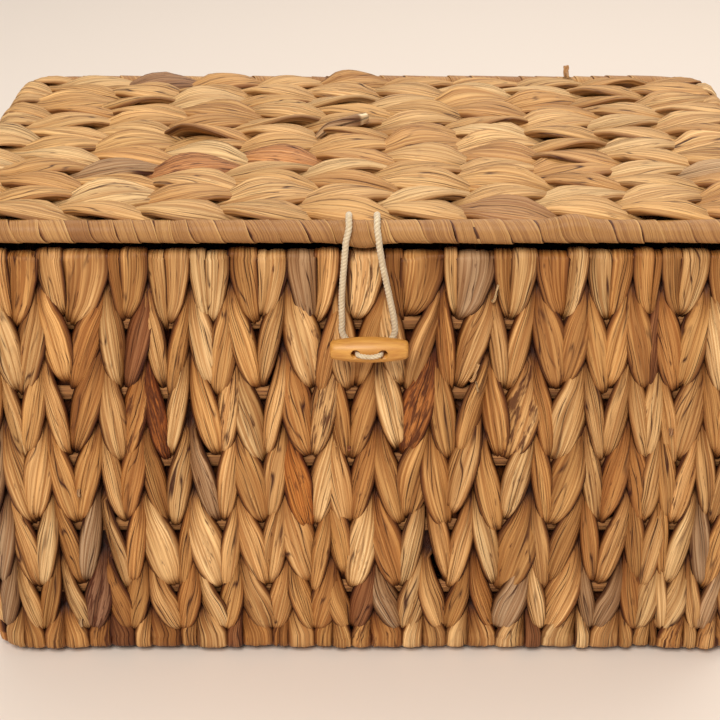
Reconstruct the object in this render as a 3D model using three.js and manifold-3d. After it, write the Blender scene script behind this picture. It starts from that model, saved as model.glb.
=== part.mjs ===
// Woven lidded box: flattened water-hyacinth strands twined round a frame of hoops and wires,
// with a lid tied on at the back, a cotton closing loop and a turned wooden toggle.
// Millimetres, +Z up, the front faces -Y, the origin is the middle of the underside.

import * as THREE from 'three';
import { mergeVertices } from 'three/addons/utils/BufferGeometryUtils.js';
import Module from 'manifold-3d';

const wasm = await Module();
wasm.setup();

// Body
const bodyWidth = 354;
const bodyDepth = 220;
const bodyHeight = 207.5;
const cornerRadius = 18;
const wallThickness = 13;
const leafRelief = 3.2;
const leafRidgeStart = 0.3;
const strandPitch = 10.2;
const leafSlant = 12;
const hoopCount = 5;
const hoopDiameter = 3.6;
const hoopInset = 6.3;
const topHoopDrop = 36;
const bottomHoopHeight = 36;
const foldHeight = 6;
const foldCrease = 0.9;
const wireDiameter = 4;
const rimWireDrop = 5.5;
const rimWireInset = 6.5;
const postDiameter = 3;
const baseThickness = 9;
const baseStakeDiameter = 3.6;

// Lid
const lidOverhang = 3;
const lidGap = 2.5;
const lidCornerRadius = 24;
const lidThickness = 9.6;
const lidRelief = 2.8;
const lidRowPitch = 17;
const lidLeafSlant = 8;
const stakePitch = 33;
const stakeDiameter = 3.6;
const rimDiameter = 10;
const wrapPitch = 14;
const wrapStep = 0.45;
const panelCornerEase = 3;

// Hinge ties
const tieDiameter = 2.6;
const tieSpacing = 215;
const tieEndLength = 7;

// Closing loop and toggle
const cordDiameter = 3;
const knotDiameter = 5.4;
const knotHeight = 4.2;
const knotDrop = 1.5;
const loopEndLeft = -8.5;
const loopEndRight = 3.2;
const toggleLength = 33;
const toggleDiameter = 11;
const toggleEndDiameter = 7.6;
const toggleEdge = 1.2;
const toggleDrop = 40.5;
const toggleHoleDiameter = 4;
const toggleHoleSpacing = 11.6;
const lacingDiameter = 2.2;
const shankDiameter = 3.8;
const shankKnotDiameter = 8;
const shankKnotHeight = 5;

// Fits
const clearance = 0.3;
const tieClearance = 0.4;
const slotClearance = 0.6;

// Corners in turn, anticlockwise from the right at the back
const corners = [[1, 1], [-1, 1], [-1, -1], [1, -1]];

// Places that follow from the sizes above
const halfWidth = bodyWidth / 2;
const halfDepth = bodyDepth / 2;
const lidHalfWidth = halfWidth + lidOverhang;
const lidHalfDepth = halfDepth + lidOverhang;
const rimRadius = rimDiameter / 2;
const lidMiddle = bodyHeight + lidGap + rimRadius;
const rimWireHeight = bodyHeight - rimWireDrop;
const baseRingInset = wallThickness + clearance / 2;
const baseRingHeight = baseThickness / 2;
const hingeY = lidHalfDepth - rimRadius;
const toggleHeight = bodyHeight - toggleDrop;
const loopY = -halfDepth - clearance - cordDiameter / 2;
const lacingLayer = loopY - cordDiameter / 2 - clearance - lacingDiameter / 2;
const toggleY = lacingLayer - lacingDiameter / 2 - clearance - toggleDiameter / 2;

// Finishes
const leaf = new THREE.MeshStandardMaterial({ color: 0xc08a4e, roughness: 0.75, metalness: 0 });
const paleLeaf = new THREE.MeshStandardMaterial({ color: 0xc99a68, roughness: 0.7, metalness: 0 });
const stem = new THREE.MeshStandardMaterial({ color: 0x9a6c3e, roughness: 0.85, metalness: 0 });
const wire = new THREE.MeshStandardMaterial({ color: 0x54504a, roughness: 0.5, metalness: 0.9 });
const cotton = new THREE.MeshStandardMaterial({ color: 0xd8c4a0, roughness: 0.95, metalness: 0 });
const wood = new THREE.MeshStandardMaterial({ color: 0xd9a050, roughness: 0.4, metalness: 0 });

// Solids from three.js geometry, for joins and cuts, and back again
function solid(geometry) {
  const bare = geometry.clone();
  bare.deleteAttribute('normal');
  bare.deleteAttribute('uv');
  const merged = mergeVertices(bare, 1e-4);
  const mesh = new wasm.Mesh({
    numProp: 3,
    vertProperties: merged.attributes.position.array,
    triVerts: new Uint32Array(merged.index.array),
  });
  return new wasm.Manifold(mesh);
}

function geometryOf(manifold) {
  const mesh = manifold.getMesh();
  const geometry = new THREE.BufferGeometry();
  geometry.setAttribute('position', new THREE.BufferAttribute(mesh.vertProperties, 3));
  geometry.setIndex(new THREE.BufferAttribute(mesh.triVerts, 1));
  return geometry;
}

function joined(geometries) {
  return geometries.map(solid).reduce((whole, piece) => whole.add(piece));
}

// Indexed geometry from points and triangles, turned to face outwards
function facetGeometry(points, triangles) {
  let volume = 0;
  for (const [a, b, c] of triangles) {
    volume += points[a].dot(points[b].clone().cross(points[c]));
  }
  const faces = volume < 0 ? triangles.map(([a, b, c]) => [a, c, b]) : triangles;
  const geometry = new THREE.BufferGeometry().setFromPoints(points);
  geometry.setIndex(faces.flat());
  return geometry;
}

// A skin over rings of points that come back to the first ring
function loft(rings) {
  const sides = rings[0].length;
  const triangles = [];
  for (let i = 0; i < rings.length; i++) {
    const here = i * sides;
    const there = ((i + 1) % rings.length) * sides;
    for (let m = 0; m < sides; m++) {
      const n = (m + 1) % sides;
      triangles.push([here + m, here + n, there + n], [here + m, there + n, there + m]);
    }
  }
  return facetGeometry(rings.flat(), triangles);
}

function roundSection(radius, sides) {
  const shape = new THREE.Shape();
  for (let m = 0; m < sides; m++) {
    const angle = (2 * Math.PI * (m + 0.5)) / sides;
    const [x, y] = [radius * Math.cos(angle), radius * Math.sin(angle)];
    if (m === 0) shape.moveTo(x, y);
    else shape.lineTo(x, y);
  }
  shape.closePath();
  return shape;
}

function tubeAlong(points, diameter, steps, sides = 8) {
  const path = new THREE.CatmullRomCurve3(points, false, 'centripetal');
  const section = roundSection(diameter / 2, sides);
  return new THREE.ExtrudeGeometry(section, { steps, bevelEnabled: false, extrudePath: path });
}

// A closed tube along a loop that lies in a plane across X
function uprightLoop(points, diameter, steps, sides = 6) {
  const path = new THREE.CatmullRomCurve3(points, true, 'centripetal');
  const across = new THREE.Vector3(1, 0, 0);
  const rings = Array.from({ length: steps }, (_, i) => {
    const centre = path.getPointAt(i / steps);
    const outward = path.getTangentAt(i / steps).cross(across);
    return Array.from({ length: sides }, (_, m) => {
      const turn = (2 * Math.PI * (m + 0.5)) / sides;
      const point = centre.clone().addScaledVector(across, (diameter / 2) * Math.cos(turn));
      return point.addScaledVector(outward, (diameter / 2) * Math.sin(turn));
    });
  });
  return loft(rings);
}

function rod(diameter, from, to, sides = 6, tipDiameter = diameter) {
  const length = from.distanceTo(to);
  const geometry = new THREE.CylinderGeometry(tipDiameter / 2, diameter / 2, length, sides);
  const along = to.clone().sub(from).normalize();
  geometry.applyQuaternion(new THREE.Quaternion().setFromUnitVectors(new THREE.Vector3(0, 1, 0), along));
  const middle = from.clone().add(to).multiplyScalar(0.5);
  return geometry.translate(middle.x, middle.y, middle.z);
}

// A turned piece about Y, from pairs of radius and place along the axis
function lathe(profile, sides) {
  return new THREE.LatheGeometry(profile.map(([radius, y]) => new THREE.Vector2(radius, y)), sides);
}

// A wire bent to a rounded rectangle that lies flat at one height
function ringTube(halfX, halfY, bend, height, diameter, sides = 6) {
  const cornerSteps = 2;
  const rings = [];
  corners.forEach(([sx, sy], quarter) => {
    const centre = new THREE.Vector3(sx * (halfX - bend), sy * (halfY - bend), height);
    for (let step = 0; step <= cornerSteps; step++) {
      const angle = ((quarter + step / cornerSteps) * Math.PI) / 2;
      const outward = new THREE.Vector3(Math.cos(angle), Math.sin(angle), 0);
      rings.push(Array.from({ length: sides }, (_, m) => {
        const turn = (2 * Math.PI * (m + 0.5)) / sides;
        const point = centre.clone().addScaledVector(outward, bend + (diameter / 2) * Math.cos(turn));
        point.z += (diameter / 2) * Math.sin(turn);
        return point;
      }));
    }
  });
  return loft(rings);
}

function bodyRing(inset, height, diameter) {
  const bend = Math.max(cornerRadius - inset, 0.75 * diameter);
  return ringTube(halfWidth - inset, halfDepth - inset, bend, height, diameter);
}

function roundedRectangle(halfX, halfY, radius) {
  const shape = new THREE.Shape();
  const [x, y] = [halfX - radius, halfY - radius];
  shape.absarc(x, -y, radius, -Math.PI / 2, 0);
  shape.absarc(x, y, radius, 0, Math.PI / 2);
  shape.absarc(-x, y, radius, Math.PI / 2, Math.PI);
  shape.absarc(-x, -y, radius, Math.PI, 1.5 * Math.PI);
  return shape;
}

function plate(shape, low, high) {
  const options = { depth: high - low, bevelEnabled: false, curveSegments: 6 };
  return new THREE.ExtrudeGeometry(shape, options).translate(0, 0, low);
}

// One side of a rounded rectangle with half of each corner: a distance along it, a height and an
// inset from its outer face give a point. The ends stop half a clearance short of the mitre.
function sidePlace(halfX, halfY, radius) {
  const straight = halfX - radius;
  return (along, height, inset) => {
    const bend = radius - inset;
    const past = Math.abs(along) - straight;
    if (past <= 0) return new THREE.Vector3(along, inset - halfY, height);
    const mitre = Math.PI / 4 - Math.asin(clearance / 2 / bend);
    const angle = Math.min(past / radius, mitre);
    const x = Math.sign(along) * (straight + bend * Math.sin(angle));
    return new THREE.Vector3(x, radius - halfY - bend * Math.cos(angle), height);
  };
}

function sideLength(halfX, radius) {
  return 2 * (halfX - radius) + (radius * Math.PI) / 2;
}

function evenSteps(low, high, count) {
  return Array.from({ length: count + 1 }, (_, i) => low + ((high - low) * i) / count);
}

// A panel of twining. Its columns lie between the borders; each holds one slanting leaf between two
// levels, and neighbouring columns slant opposite ways. The edges are lists of [level, inset, crease].
function twinedPanel({ borders, levels, slant, valley, lowEdge, highEdge, place }) {
  const points = [];
  const triangles = [];
  const chain = lowEdge.length + levels.length + highEdge.length;
  const profiles = borders.map((border, k) => {
    const side = k % 2 === 0 ? 1 : -1;
    const edge = ([level, inset, crease]) => [level, inset + (side > 0 ? crease : 0)];
    const zigzag = levels.map((level) => [level + side * slant, valley]);
    return [...lowEdge.map(edge), ...zigzag, ...highEdge.map(edge)];
  });
  profiles.forEach((profile, k) => {
    for (const [level, inset] of profile) points.push(place(borders[k], level, inset));
  });

  const ridgePoint = (k, from, to, share) => {
    const along = borders[k] + (borders[k + 1] - borders[k]) * (from.right ? 1 - share : share);
    points.push(place(along, from.level + (to.level - from.level) * share, 0));
    return points.length - 1;
  };
  const leafFacets = (k, i) => {
    const [a, b] = [k * chain + i, (k + 1) * chain + i];
    const [c, d] = [b + 1, a + 1];
    const leansRight = k % 2 === 0;
    const upper = { level: profiles[leansRight ? k : k + 1][i + 1][0], right: !leansRight };
    const lower = { level: profiles[leansRight ? k + 1 : k][i][0] };
    const high = ridgePoint(k, upper, lower, leafRidgeStart);
    const low = ridgePoint(k, upper, lower, 1 - leafRidgeStart);
    const [p, q, r, s, near, far] = leansRight ? [a, b, c, d, high, low] : [b, c, d, a, low, high];
    triangles.push([p, q, far], [p, far, near], [p, near, s], [r, s, near], [r, near, far], [r, far, q]);
  };

  const firstLevel = lowEdge.length;
  for (let k = 0; k < borders.length - 1; k++) {
    for (let i = 0; i < chain; i++) {
      if (i >= firstLevel && i < firstLevel + levels.length - 1) {
        leafFacets(k, i);
        continue;
      }
      const next = (i + 1) % chain;
      const [a, b, c, d] = [k * chain + i, (k + 1) * chain + i, (k + 1) * chain + next, k * chain + next];
      triangles.push([a, b, c], [a, c, d]);
    }
  }
  for (const k of [0, borders.length - 1]) {
    const outline = profiles[k].map(([level, inset]) => new THREE.Vector2(inset, level));
    const turn = THREE.ShapeUtils.area(outline) > 0 ? 1 : -1;
    for (const face of THREE.ShapeUtils.triangulateShape(outline, [])) {
      const corners = face.map((i) => outline[i]);
      const follows = THREE.ShapeUtils.area(corners) * turn > 0;
      const [a, b, c] = face.map((i) => k * chain + i);
      triangles.push(follows === (k === 0) ? [a, b, c] : [a, c, b]);
    }
  }
  return facetGeometry(points, triangles);
}

// Frame of the body
const hoopPitch = (bodyHeight - topHoopDrop - bottomHoopHeight) / (hoopCount - 1);
const hoopHeights = evenSteps(bottomHoopHeight, bodyHeight - topHoopDrop, hoopCount - 1);
const postInset = Math.max(hoopInset + hoopDiameter / 2, rimWireInset + wireDiameter / 2)
  + clearance + postDiameter / 2;
const postFoot = baseRingHeight + wireDiameter / 2 + clearance;
const postTop = bodyHeight - foldHeight;
const postReach = (cornerRadius - postInset) / Math.SQRT2;

function hoop(height, extra = 0) {
  return bodyRing(hoopInset, height, hoopDiameter + 2 * extra);
}

function rimWire(extra = 0) {
  return bodyRing(rimWireInset, rimWireHeight, wireDiameter + 2 * extra);
}

function baseRing(extra = 0) {
  return bodyRing(baseRingInset, baseRingHeight, wireDiameter + 2 * extra);
}

function cornerPost([sx, sy], extra = 0) {
  const x = sx * (halfWidth - cornerRadius + postReach);
  const y = sy * (halfDepth - cornerRadius + postReach);
  const foot = new THREE.Vector3(x, y, postFoot - extra);
  return rod(postDiameter + 2 * extra, foot, new THREE.Vector3(x, y, postTop + extra));
}

// A hinge tie goes round the lid's back bar and through the back wall under the rim wire
const tieRadius = tieDiameter / 2;
const tieHoleHeight = rimWireHeight - wireDiameter / 2 - 2 * clearance - tieDiameter;
const tieTurn = rimRadius + tieClearance + tieRadius;

function tieLoop(x, extra = 0) {
  const outer = halfDepth + clearance + tieRadius;
  const inner = halfDepth - wallThickness - clearance - tieRadius;
  const round = [0, 45, 90, 135, 180].map((degrees) => {
    const angle = THREE.MathUtils.degToRad(degrees);
    return [hingeY + tieTurn * Math.cos(angle), lidMiddle + tieTurn * Math.sin(angle)];
  });
  const lower = [
    [inner, tieHoleHeight + 3 * tieRadius],
    [inner + tieRadius, tieHoleHeight + tieRadius / 2],
    [inner + 3 * tieRadius, tieHoleHeight],
    [outer - 3 * tieRadius, tieHoleHeight],
    [outer - tieRadius, tieHoleHeight + tieRadius / 2],
    [outer, tieHoleHeight + 3 * tieRadius],
  ];
  const points = [...round, ...lower].map(([y, z]) => new THREE.Vector3(x, y, z));
  return uprightLoop(points, tieDiameter + 2 * extra, 18);
}

// The twisted ends of the tie stand up behind the bar, one steeper than the other
function tieEnd(x, lean, steepness) {
  const foot = new THREE.Vector3(x, hingeY + tieTurn * Math.SQRT1_2, lidMiddle + tieTurn * Math.SQRT1_2);
  const angle = THREE.MathUtils.degToRad(steepness);
  const [back, up] = [tieEndLength * Math.cos(angle), tieEndLength * Math.sin(angle)];
  const tip = foot.clone().add(new THREE.Vector3(lean, back, up));
  return rod(0.9 * tieDiameter, foot, tip, 6, tieDiameter / 3);
}

function hingeTie(x) {
  return geometryOf(joined([tieLoop(x), tieEnd(x, tieRadius / 2, 80), tieEnd(x, -tieRadius / 2, 60)]));
}

// Walls: the strands fold over the rim wire at the top and under at the bottom
const tiePlaces = [-tieSpacing / 2, tieSpacing / 2];
const shankFront = lacingLayer + lacingDiameter / 2 + clearance;
const shankHole = rod(
  shankDiameter + 2 * clearance,
  new THREE.Vector3(0, shankFront, toggleHeight),
  new THREE.Vector3(0, wallThickness - halfDepth + shankKnotDiameter, toggleHeight),
  8,
);
const wallCuts = joined([
  ...hoopHeights.map((height) => hoop(height, clearance)),
  rimWire(clearance),
  baseRing(clearance),
  ...corners.map((corner) => cornerPost(corner, clearance)),
  ...tiePlaces.map((x) => tieLoop(x, clearance)),
  shankHole,
]);

function wall(halfX, halfY, quarterTurns) {
  const length = sideLength(halfX, cornerRadius);
  const columns = 2 * Math.round(length / (2 * strandPitch));
  const fold = foldHeight;
  const crown = wallThickness / 2;
  const geometry = twinedPanel({
    borders: evenSteps(-length / 2, length / 2, columns),
    levels: evenSteps(bottomHoopHeight - hoopPitch / 2, bodyHeight - topHoopDrop + hoopPitch / 2, hoopCount),
    slant: leafSlant,
    valley: leafRelief,
    lowEdge: [[0, wallThickness, 0], [0, fold / 2, 0], [fold, 0, foldCrease]],
    highEdge: [
      [bodyHeight - fold, 0, foldCrease],
      [bodyHeight - fold / 4, fold / 3, foldCrease],
      [bodyHeight, crown, 0],
      [bodyHeight - fold, wallThickness, 0],
    ],
    place: sidePlace(halfX, halfY, cornerRadius),
  });
  geometry.rotateZ((quarterTurns * Math.PI) / 2);
  return geometryOf(solid(geometry).subtract(wallCuts));
}

// Base: a twined panel between the walls, round stakes that run front to back
const baseHalfWidth = halfWidth - wallThickness - clearance;
const baseHalfDepth = halfDepth - wallThickness - clearance;
const baseStakeCount = Math.round((2 * baseHalfWidth) / stakePitch) - 1;
const baseStakePlaces = evenSteps(-baseHalfWidth, baseHalfWidth, baseStakeCount + 1).slice(1, -1);
const baseStakeReach = halfDepth - baseRingInset - wireDiameter / 2 - clearance;

function baseRod(x, reach, diameter) {
  const front = new THREE.Vector3(x, -reach, baseRingHeight);
  return rod(diameter, front, new THREE.Vector3(x, reach, baseRingHeight));
}

function baseStake(x) {
  return baseRod(x, baseStakeReach, baseStakeDiameter);
}

function baseStakeTunnel(x) {
  return baseRod(x, halfDepth, baseStakeDiameter + 2 * clearance);
}

function baseWeave() {
  const bend = Math.max(cornerRadius - wallThickness - clearance, clearance);
  const outline = plate(roundedRectangle(baseHalfWidth, baseHalfDepth, bend), 0, baseThickness);
  const cuts = joined([baseRing(clearance), ...baseStakePlaces.map(baseStakeTunnel)]);
  return geometryOf(solid(outline).subtract(cuts));
}

// Lid: a twined panel inside a wrapped rim, with its columns running left to right
const panelHalfWidth = lidHalfWidth - rimDiameter - clearance;
const panelHalfDepth = lidHalfDepth - rimDiameter - clearance;
const panelTop = lidMiddle + lidThickness / 2;
const stakeHeight = panelTop - lidRelief - clearance - (lidThickness - lidRelief) / 2;
const stakeCount = Math.round((2 * panelHalfWidth) / stakePitch);
const stakeGap = (2 * panelHalfWidth) / stakeCount;
const stakePlaces = evenSteps(
  stakeGap / 2 - panelHalfWidth, panelHalfWidth - stakeGap / 2, stakeCount - 1,
);
const loopRadius = cordDiameter / 2;
const loopTurn = rimRadius + clearance + loopRadius;
const loopEndPlaces = [loopEndLeft, loopEndRight];

function lidStake(x, extra = 0) {
  const front = new THREE.Vector3(x, -panelHalfDepth - extra, stakeHeight);
  return rod(stakeDiameter + 2 * extra, front, new THREE.Vector3(x, panelHalfDepth + extra, stakeHeight));
}

// The lid swings round its back bar, so the slot for a tie is a disc about that bar
function tieSlot(x) {
  const reach = tieTurn + tieRadius + tieEndLength + slotClearance;
  const halfSlot = new THREE.Vector3(tieRadius + slotClearance, 0, 0);
  const middle = new THREE.Vector3(x, hingeY, lidMiddle);
  return rod(2 * reach, middle.clone().sub(halfSlot), middle.clone().add(halfSlot), 16);
}

// The cord comes up through a notch in the front edge of the panel
function loopNotch(x) {
  const opening = cordDiameter + 2 * clearance;
  const notch = new THREE.BoxGeometry(opening, opening, 2 * lidThickness);
  return notch.translate(x, rimRadius - lidHalfDepth + loopTurn, lidMiddle);
}

// The knot at each end of the loop sits half sunk in the underside of the lid
function loopKnot(x, extra = 0) {
  const y = rimRadius - lidHalfDepth + loopTurn + (knotDiameter - cordDiameter) / 2;
  const middle = lidMiddle - lidThickness / 2 - knotDrop + knotHeight / 2;
  const knot = new THREE.SphereGeometry(knotDiameter / 2 + extra, 8, 6).rotateX(Math.PI / 2);
  const flatness = (knotHeight + 2 * extra) / (knotDiameter + 2 * extra);
  return knot.scale(1, 1, flatness).translate(x, y, middle);
}

function lidWeave() {
  const margin = stakeGap / 2;
  const rows = 2 * Math.round(panelHalfDepth / lidRowPitch);
  const ends = panelHalfWidth + margin;
  const panel = twinedPanel({
    borders: evenSteps(-panelHalfDepth - clearance, panelHalfDepth + clearance, rows),
    levels: evenSteps(-panelHalfWidth, panelHalfWidth, stakeCount),
    slant: lidLeafSlant,
    valley: lidRelief,
    lowEdge: [[-ends, lidThickness, 0], [-ends, lidRelief, 0]],
    highEdge: [[ends, lidRelief, 0], [ends, lidThickness, 0]],
    place: (along, level, inset) => new THREE.Vector3(level, along, panelTop - inset),
  });
  const bend = Math.max(lidCornerRadius - rimDiameter, 0) + panelCornerEase;
  const outline = roundedRectangle(panelHalfWidth, panelHalfDepth, bend);
  const cuts = joined([
    ...stakePlaces.map((x) => lidStake(x, clearance)),
    ...tiePlaces.map(tieSlot),
    ...loopEndPlaces.map(loopNotch),
    ...loopEndPlaces.map((x) => loopKnot(x, clearance)),
  ]);
  const trimmed = solid(panel).intersect(solid(plate(outline, 0, 2 * lidMiddle)));
  return geometryOf(trimmed.subtract(cuts));
}

function lidRimWire(extra = 0) {
  const [halfX, halfY] = [lidHalfWidth - rimRadius, lidHalfDepth - rimRadius];
  return ringTube(halfX, halfY, lidCornerRadius - rimRadius, lidMiddle, wireDiameter + 2 * extra);
}

// The rim wrap on one side: a strip wound round the wire, each turn lapping over the one before
function rimWrap(halfX, halfY, quarterTurns) {
  const sides = 6;
  const place = (along, turn, radius) => {
    const straight = halfX - lidCornerRadius;
    const bend = lidCornerRadius - rimRadius + radius * Math.cos(turn);
    const angle = Math.max(Math.abs(along) - straight, 0) / lidCornerRadius;
    const reach = Math.min(Math.abs(along), straight) + bend * Math.sin(angle);
    const y = lidCornerRadius - halfY - bend * Math.cos(angle);
    return new THREE.Vector3(Math.sign(along) * reach, y, lidMiddle + radius * Math.sin(turn));
  };
  const length = sideLength(halfX, lidCornerRadius);
  const turns = Math.ceil(length / wrapPitch) + 1;
  const start = (-turns * wrapPitch) / 2;
  const points = [];
  const triangles = [];
  const quad = (a, b, c, d) => triangles.push([a, b, c], [a, c, d]);
  const angleOf = (t) => (-2 * Math.PI * t) / sides;
  const ringAt = (along) => {
    for (let m = 0; m < sides; m++) points.push(place(along, angleOf(m), rimRadius - wrapStep));
    return points.length - sides;
  };

  const total = turns * sides;
  for (let t = 0; t <= total; t++) {
    const along = start + (wrapPitch * t) / sides;
    points.push(place(along, angleOf(t), rimRadius));
    points.push(place(along + wrapStep, angleOf(t), rimRadius - wrapStep));
  }
  const high = (t) => 2 * t;
  const low = (t) => 2 * t + 1;
  for (let t = 0; t < total - sides; t++) {
    quad(high(t), high(t + 1), low(t + 1), low(t));
    quad(low(t), low(t + 1), high(t + 1 + sides), high(t + sides));
  }
  const first = ringAt(start - wrapPitch / 4);
  const last = ringAt(start + wrapPitch * (turns + 0.25));
  for (let m = 0; m < sides; m++) {
    const n = (m + 1) % sides;
    quad(first + m, first + n, high(m + 1), high(m));
    quad(high(total - sides + m), high(total - sides + m + 1), last + n, last + m);
    if (m === 0 || m === sides - 1) continue;
    triangles.push([first, first + m + 1, first + m], [last, last + m, last + m + 1]);
  }
  quad(first, high(0), low(0), high(sides));
  quad(high(total - sides), last, high(total), low(total - sides));
  const geometry = facetGeometry(points, triangles);

  const inner = halfX - lidCornerRadius - clearance / Math.SQRT2;
  const outer = inner + lidCornerRadius;
  const mitred = new THREE.Shape([
    new THREE.Vector2(-inner, lidCornerRadius - halfY),
    new THREE.Vector2(-outer, -halfY),
    new THREE.Vector2(-outer, -halfY - rimRadius),
    new THREE.Vector2(outer, -halfY - rimRadius),
    new THREE.Vector2(outer, -halfY),
    new THREE.Vector2(inner, lidCornerRadius - halfY),
  ]);
  const trimmed = solid(geometry).intersect(solid(plate(mitred, 0, 2 * lidMiddle)));
  const turned = geometryOf(trimmed).rotateZ((quarterTurns * Math.PI) / 2);
  return geometryOf(solid(turned).subtract(solid(lidRimWire(clearance))));
}

// Closing loop: each end is knotted under the lid and comes up over the rim; the free loop hangs from
// there and hooks behind the toggle
const loopEndDrop = 0.4 * cordDiameter;
const loopTop = lidMiddle - loopEndDrop - clearance;
const loopFront = rimRadius - lidHalfDepth - loopTurn;

function loopEnd(x) {
  const middleY = rimRadius - lidHalfDepth;
  const points = [[loopTurn, -lidThickness / 2]];
  for (const degrees of [0, 30, 60, 90, 120, 150, 180]) {
    const angle = THREE.MathUtils.degToRad(degrees);
    points.push([loopTurn * Math.cos(angle), loopTurn * Math.sin(angle)]);
  }
  points.push([-loopTurn, -loopEndDrop]);
  const path = points.map(([y, z]) => new THREE.Vector3(x, middleY + y, lidMiddle + z));
  return geometryOf(joined([tubeAlong(path, cordDiameter, 12), loopKnot(x)]));
}

function closingLoop() {
  const behind = toggleHeight - shankDiameter / 2 - clearance - loopRadius;
  const points = [
    [loopEndLeft, loopFront, loopTop],
    [loopEndLeft - 0.1, loopFront, loopTop - 3],
    [-10.2, loopFront + 0.6, loopTop - 12],
    [-11.1, loopFront + 1.6, loopTop - 25],
    [-11.3, loopY - 0.2, toggleHeight + 9],
    [-9.6, loopY, toggleHeight + 1.5],
    [-5, loopY, behind + 0.6],
    [0, loopY, behind],
    [5, loopY, behind + 0.6],
    [9.4, loopY, toggleHeight + 1.5],
    [10.8, loopY - 0.2, toggleHeight + 9],
    [9.6, loopFront + 1.6, loopTop - 25],
    [6, loopFront + 0.6, loopTop - 12],
    [loopEndRight + 0.1, loopFront, loopTop - 3],
    [loopEndRight, loopFront, loopTop],
  ];
  return tubeAlong(points.map((point) => new THREE.Vector3(...point)), cordDiameter, 28);
}

// Toggle: a turned barrel with two holes, the cord laced through them, and the shank through the wall
function toggleBarrel() {
  const half = toggleLength / 2;
  const bulge = (toggleDiameter - toggleEndDiameter) / 2;
  const flat = toggleEndDiameter / 2 - toggleEdge;
  const profile = [[0, -half], [flat, -half]];
  for (const x of evenSteps(toggleEdge - half, half - toggleEdge, 8)) {
    profile.push([toggleEndDiameter / 2 + bulge * (1 - (x / half) ** 2), x]);
  }
  profile.push([flat, half], [0, half]);
  const barrel = solid(lathe(profile, 12).rotateZ(-Math.PI / 2));
  const holes = [-1, 1].map((side) => {
    const front = new THREE.Vector3((side * toggleHoleSpacing) / 2, -toggleDiameter, 0);
    return rod(toggleHoleDiameter, front, front.clone().setY(toggleDiameter), 10);
  });
  return geometryOf(barrel.subtract(joined(holes)));
}

function toggleLacing() {
  const hole = toggleHoleSpacing / 2;
  const front = -toggleDiameter / 2 - clearance - lacingDiameter / 2;
  const back = lacingLayer - toggleY;
  const half = [
    [0, front],
    [0.5 * hole, front - 0.1],
    [0.92 * hole, front + 0.9],
    [hole, -toggleDiameter / 4],
    [hole, toggleDiameter / 4],
    [0.92 * hole, back - 0.7],
    [0.5 * hole, back],
    [clearance, back],
  ];
  const left = half.slice(1).reverse().map(([x, y]) => new THREE.Vector3(-x, y, 0));
  const right = half.map(([x, y]) => new THREE.Vector3(x, y, 0));
  return tubeAlong([...left, ...right], lacingDiameter, 26, 6);
}

function toggleShank() {
  const inside = wallThickness - halfDepth + clearance;
  const radius = shankDiameter / 2;
  const profile = [[0, shankFront], [radius, shankFront], [radius, inside]];
  for (const share of evenSteps(1 / 6, 5 / 6, 4)) {
    const bulge = Math.sin(share * Math.PI);
    profile.push([(shankKnotDiameter / 2) * bulge, inside + shankKnotHeight * share]);
  }
  profile.push([0, inside + shankKnotHeight]);
  return lathe(profile, 10).translate(0, 0, toggleHeight);
}

// Assembly
function piece(name, geometry, material) {
  const mesh = new THREE.Mesh(geometry, material);
  mesh.name = name;
  return mesh;
}

const body = new THREE.Group();
body.add(
  piece('front_weave', wall(halfWidth, halfDepth, 0), leaf),
  piece('right_weave', wall(halfDepth, halfWidth, 1), leaf),
  piece('back_weave', wall(halfWidth, halfDepth, 2), leaf),
  piece('left_weave', wall(halfDepth, halfWidth, 3), leaf),
  piece('base_weave', baseWeave(), leaf),
  piece('rim_wire', rimWire(), wire),
  piece('base_ring', baseRing(), wire),
);
hoopHeights.forEach((height, i) => body.add(piece(`hoop_${i + 1}`, hoop(height), stem)));
corners.forEach((corner, i) => body.add(piece(`corner_post_${i + 1}`, cornerPost(corner), wire)));
baseStakePlaces.forEach((x, i) => body.add(piece(`base_stake_${i + 1}`, baseStake(x), stem)));
body.add(
  piece('hinge_tie_left', hingeTie(tiePlaces[0]), paleLeaf),
  piece('hinge_tie_right', hingeTie(tiePlaces[1]), paleLeaf),
  piece('toggle_shank', toggleShank(), cotton),
);

const lid = new THREE.Group();
lid.add(
  piece('lid_weave', lidWeave(), leaf),
  piece('lid_rim_wire', lidRimWire(), wire),
  piece('lid_wrap_front', rimWrap(lidHalfWidth, lidHalfDepth, 0), paleLeaf),
  piece('lid_wrap_right', rimWrap(lidHalfDepth, lidHalfWidth, 1), paleLeaf),
  piece('lid_wrap_back', rimWrap(lidHalfWidth, lidHalfDepth, 2), paleLeaf),
  piece('lid_wrap_left', rimWrap(lidHalfDepth, lidHalfWidth, 3), paleLeaf),
);
stakePlaces.forEach((x, i) => lid.add(piece(`lid_stake_${i + 1}`, lidStake(x), stem)));
lid.add(
  piece('loop_end_left', loopEnd(loopEndLeft), cotton),
  piece('loop_end_right', loopEnd(loopEndRight), cotton),
  piece('closing_loop', closingLoop(), cotton),
);

const toggle = new THREE.Group();
toggle.position.set(0, toggleY, toggleHeight);
toggle.add(
  piece('toggle', toggleBarrel(), wood),
  piece('toggle_lacing', toggleLacing(), cotton),
);

const box = new THREE.Group();
box.name = 'woven_lidded_box';
box.add(body, lid, toggle);
export default box;
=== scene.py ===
# %% [markdown]
# # A woven lidded box
# The box is twined from dried water-hyacinth leaves on a wire frame, and a cotton loop over a turned
# toggle keeps its lid shut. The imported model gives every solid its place, in metres. This lesson keeps
# those places and makes what the eye looks for: single leaves, a wrapped rim, cord and varnished wood.

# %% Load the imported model
import math

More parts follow.
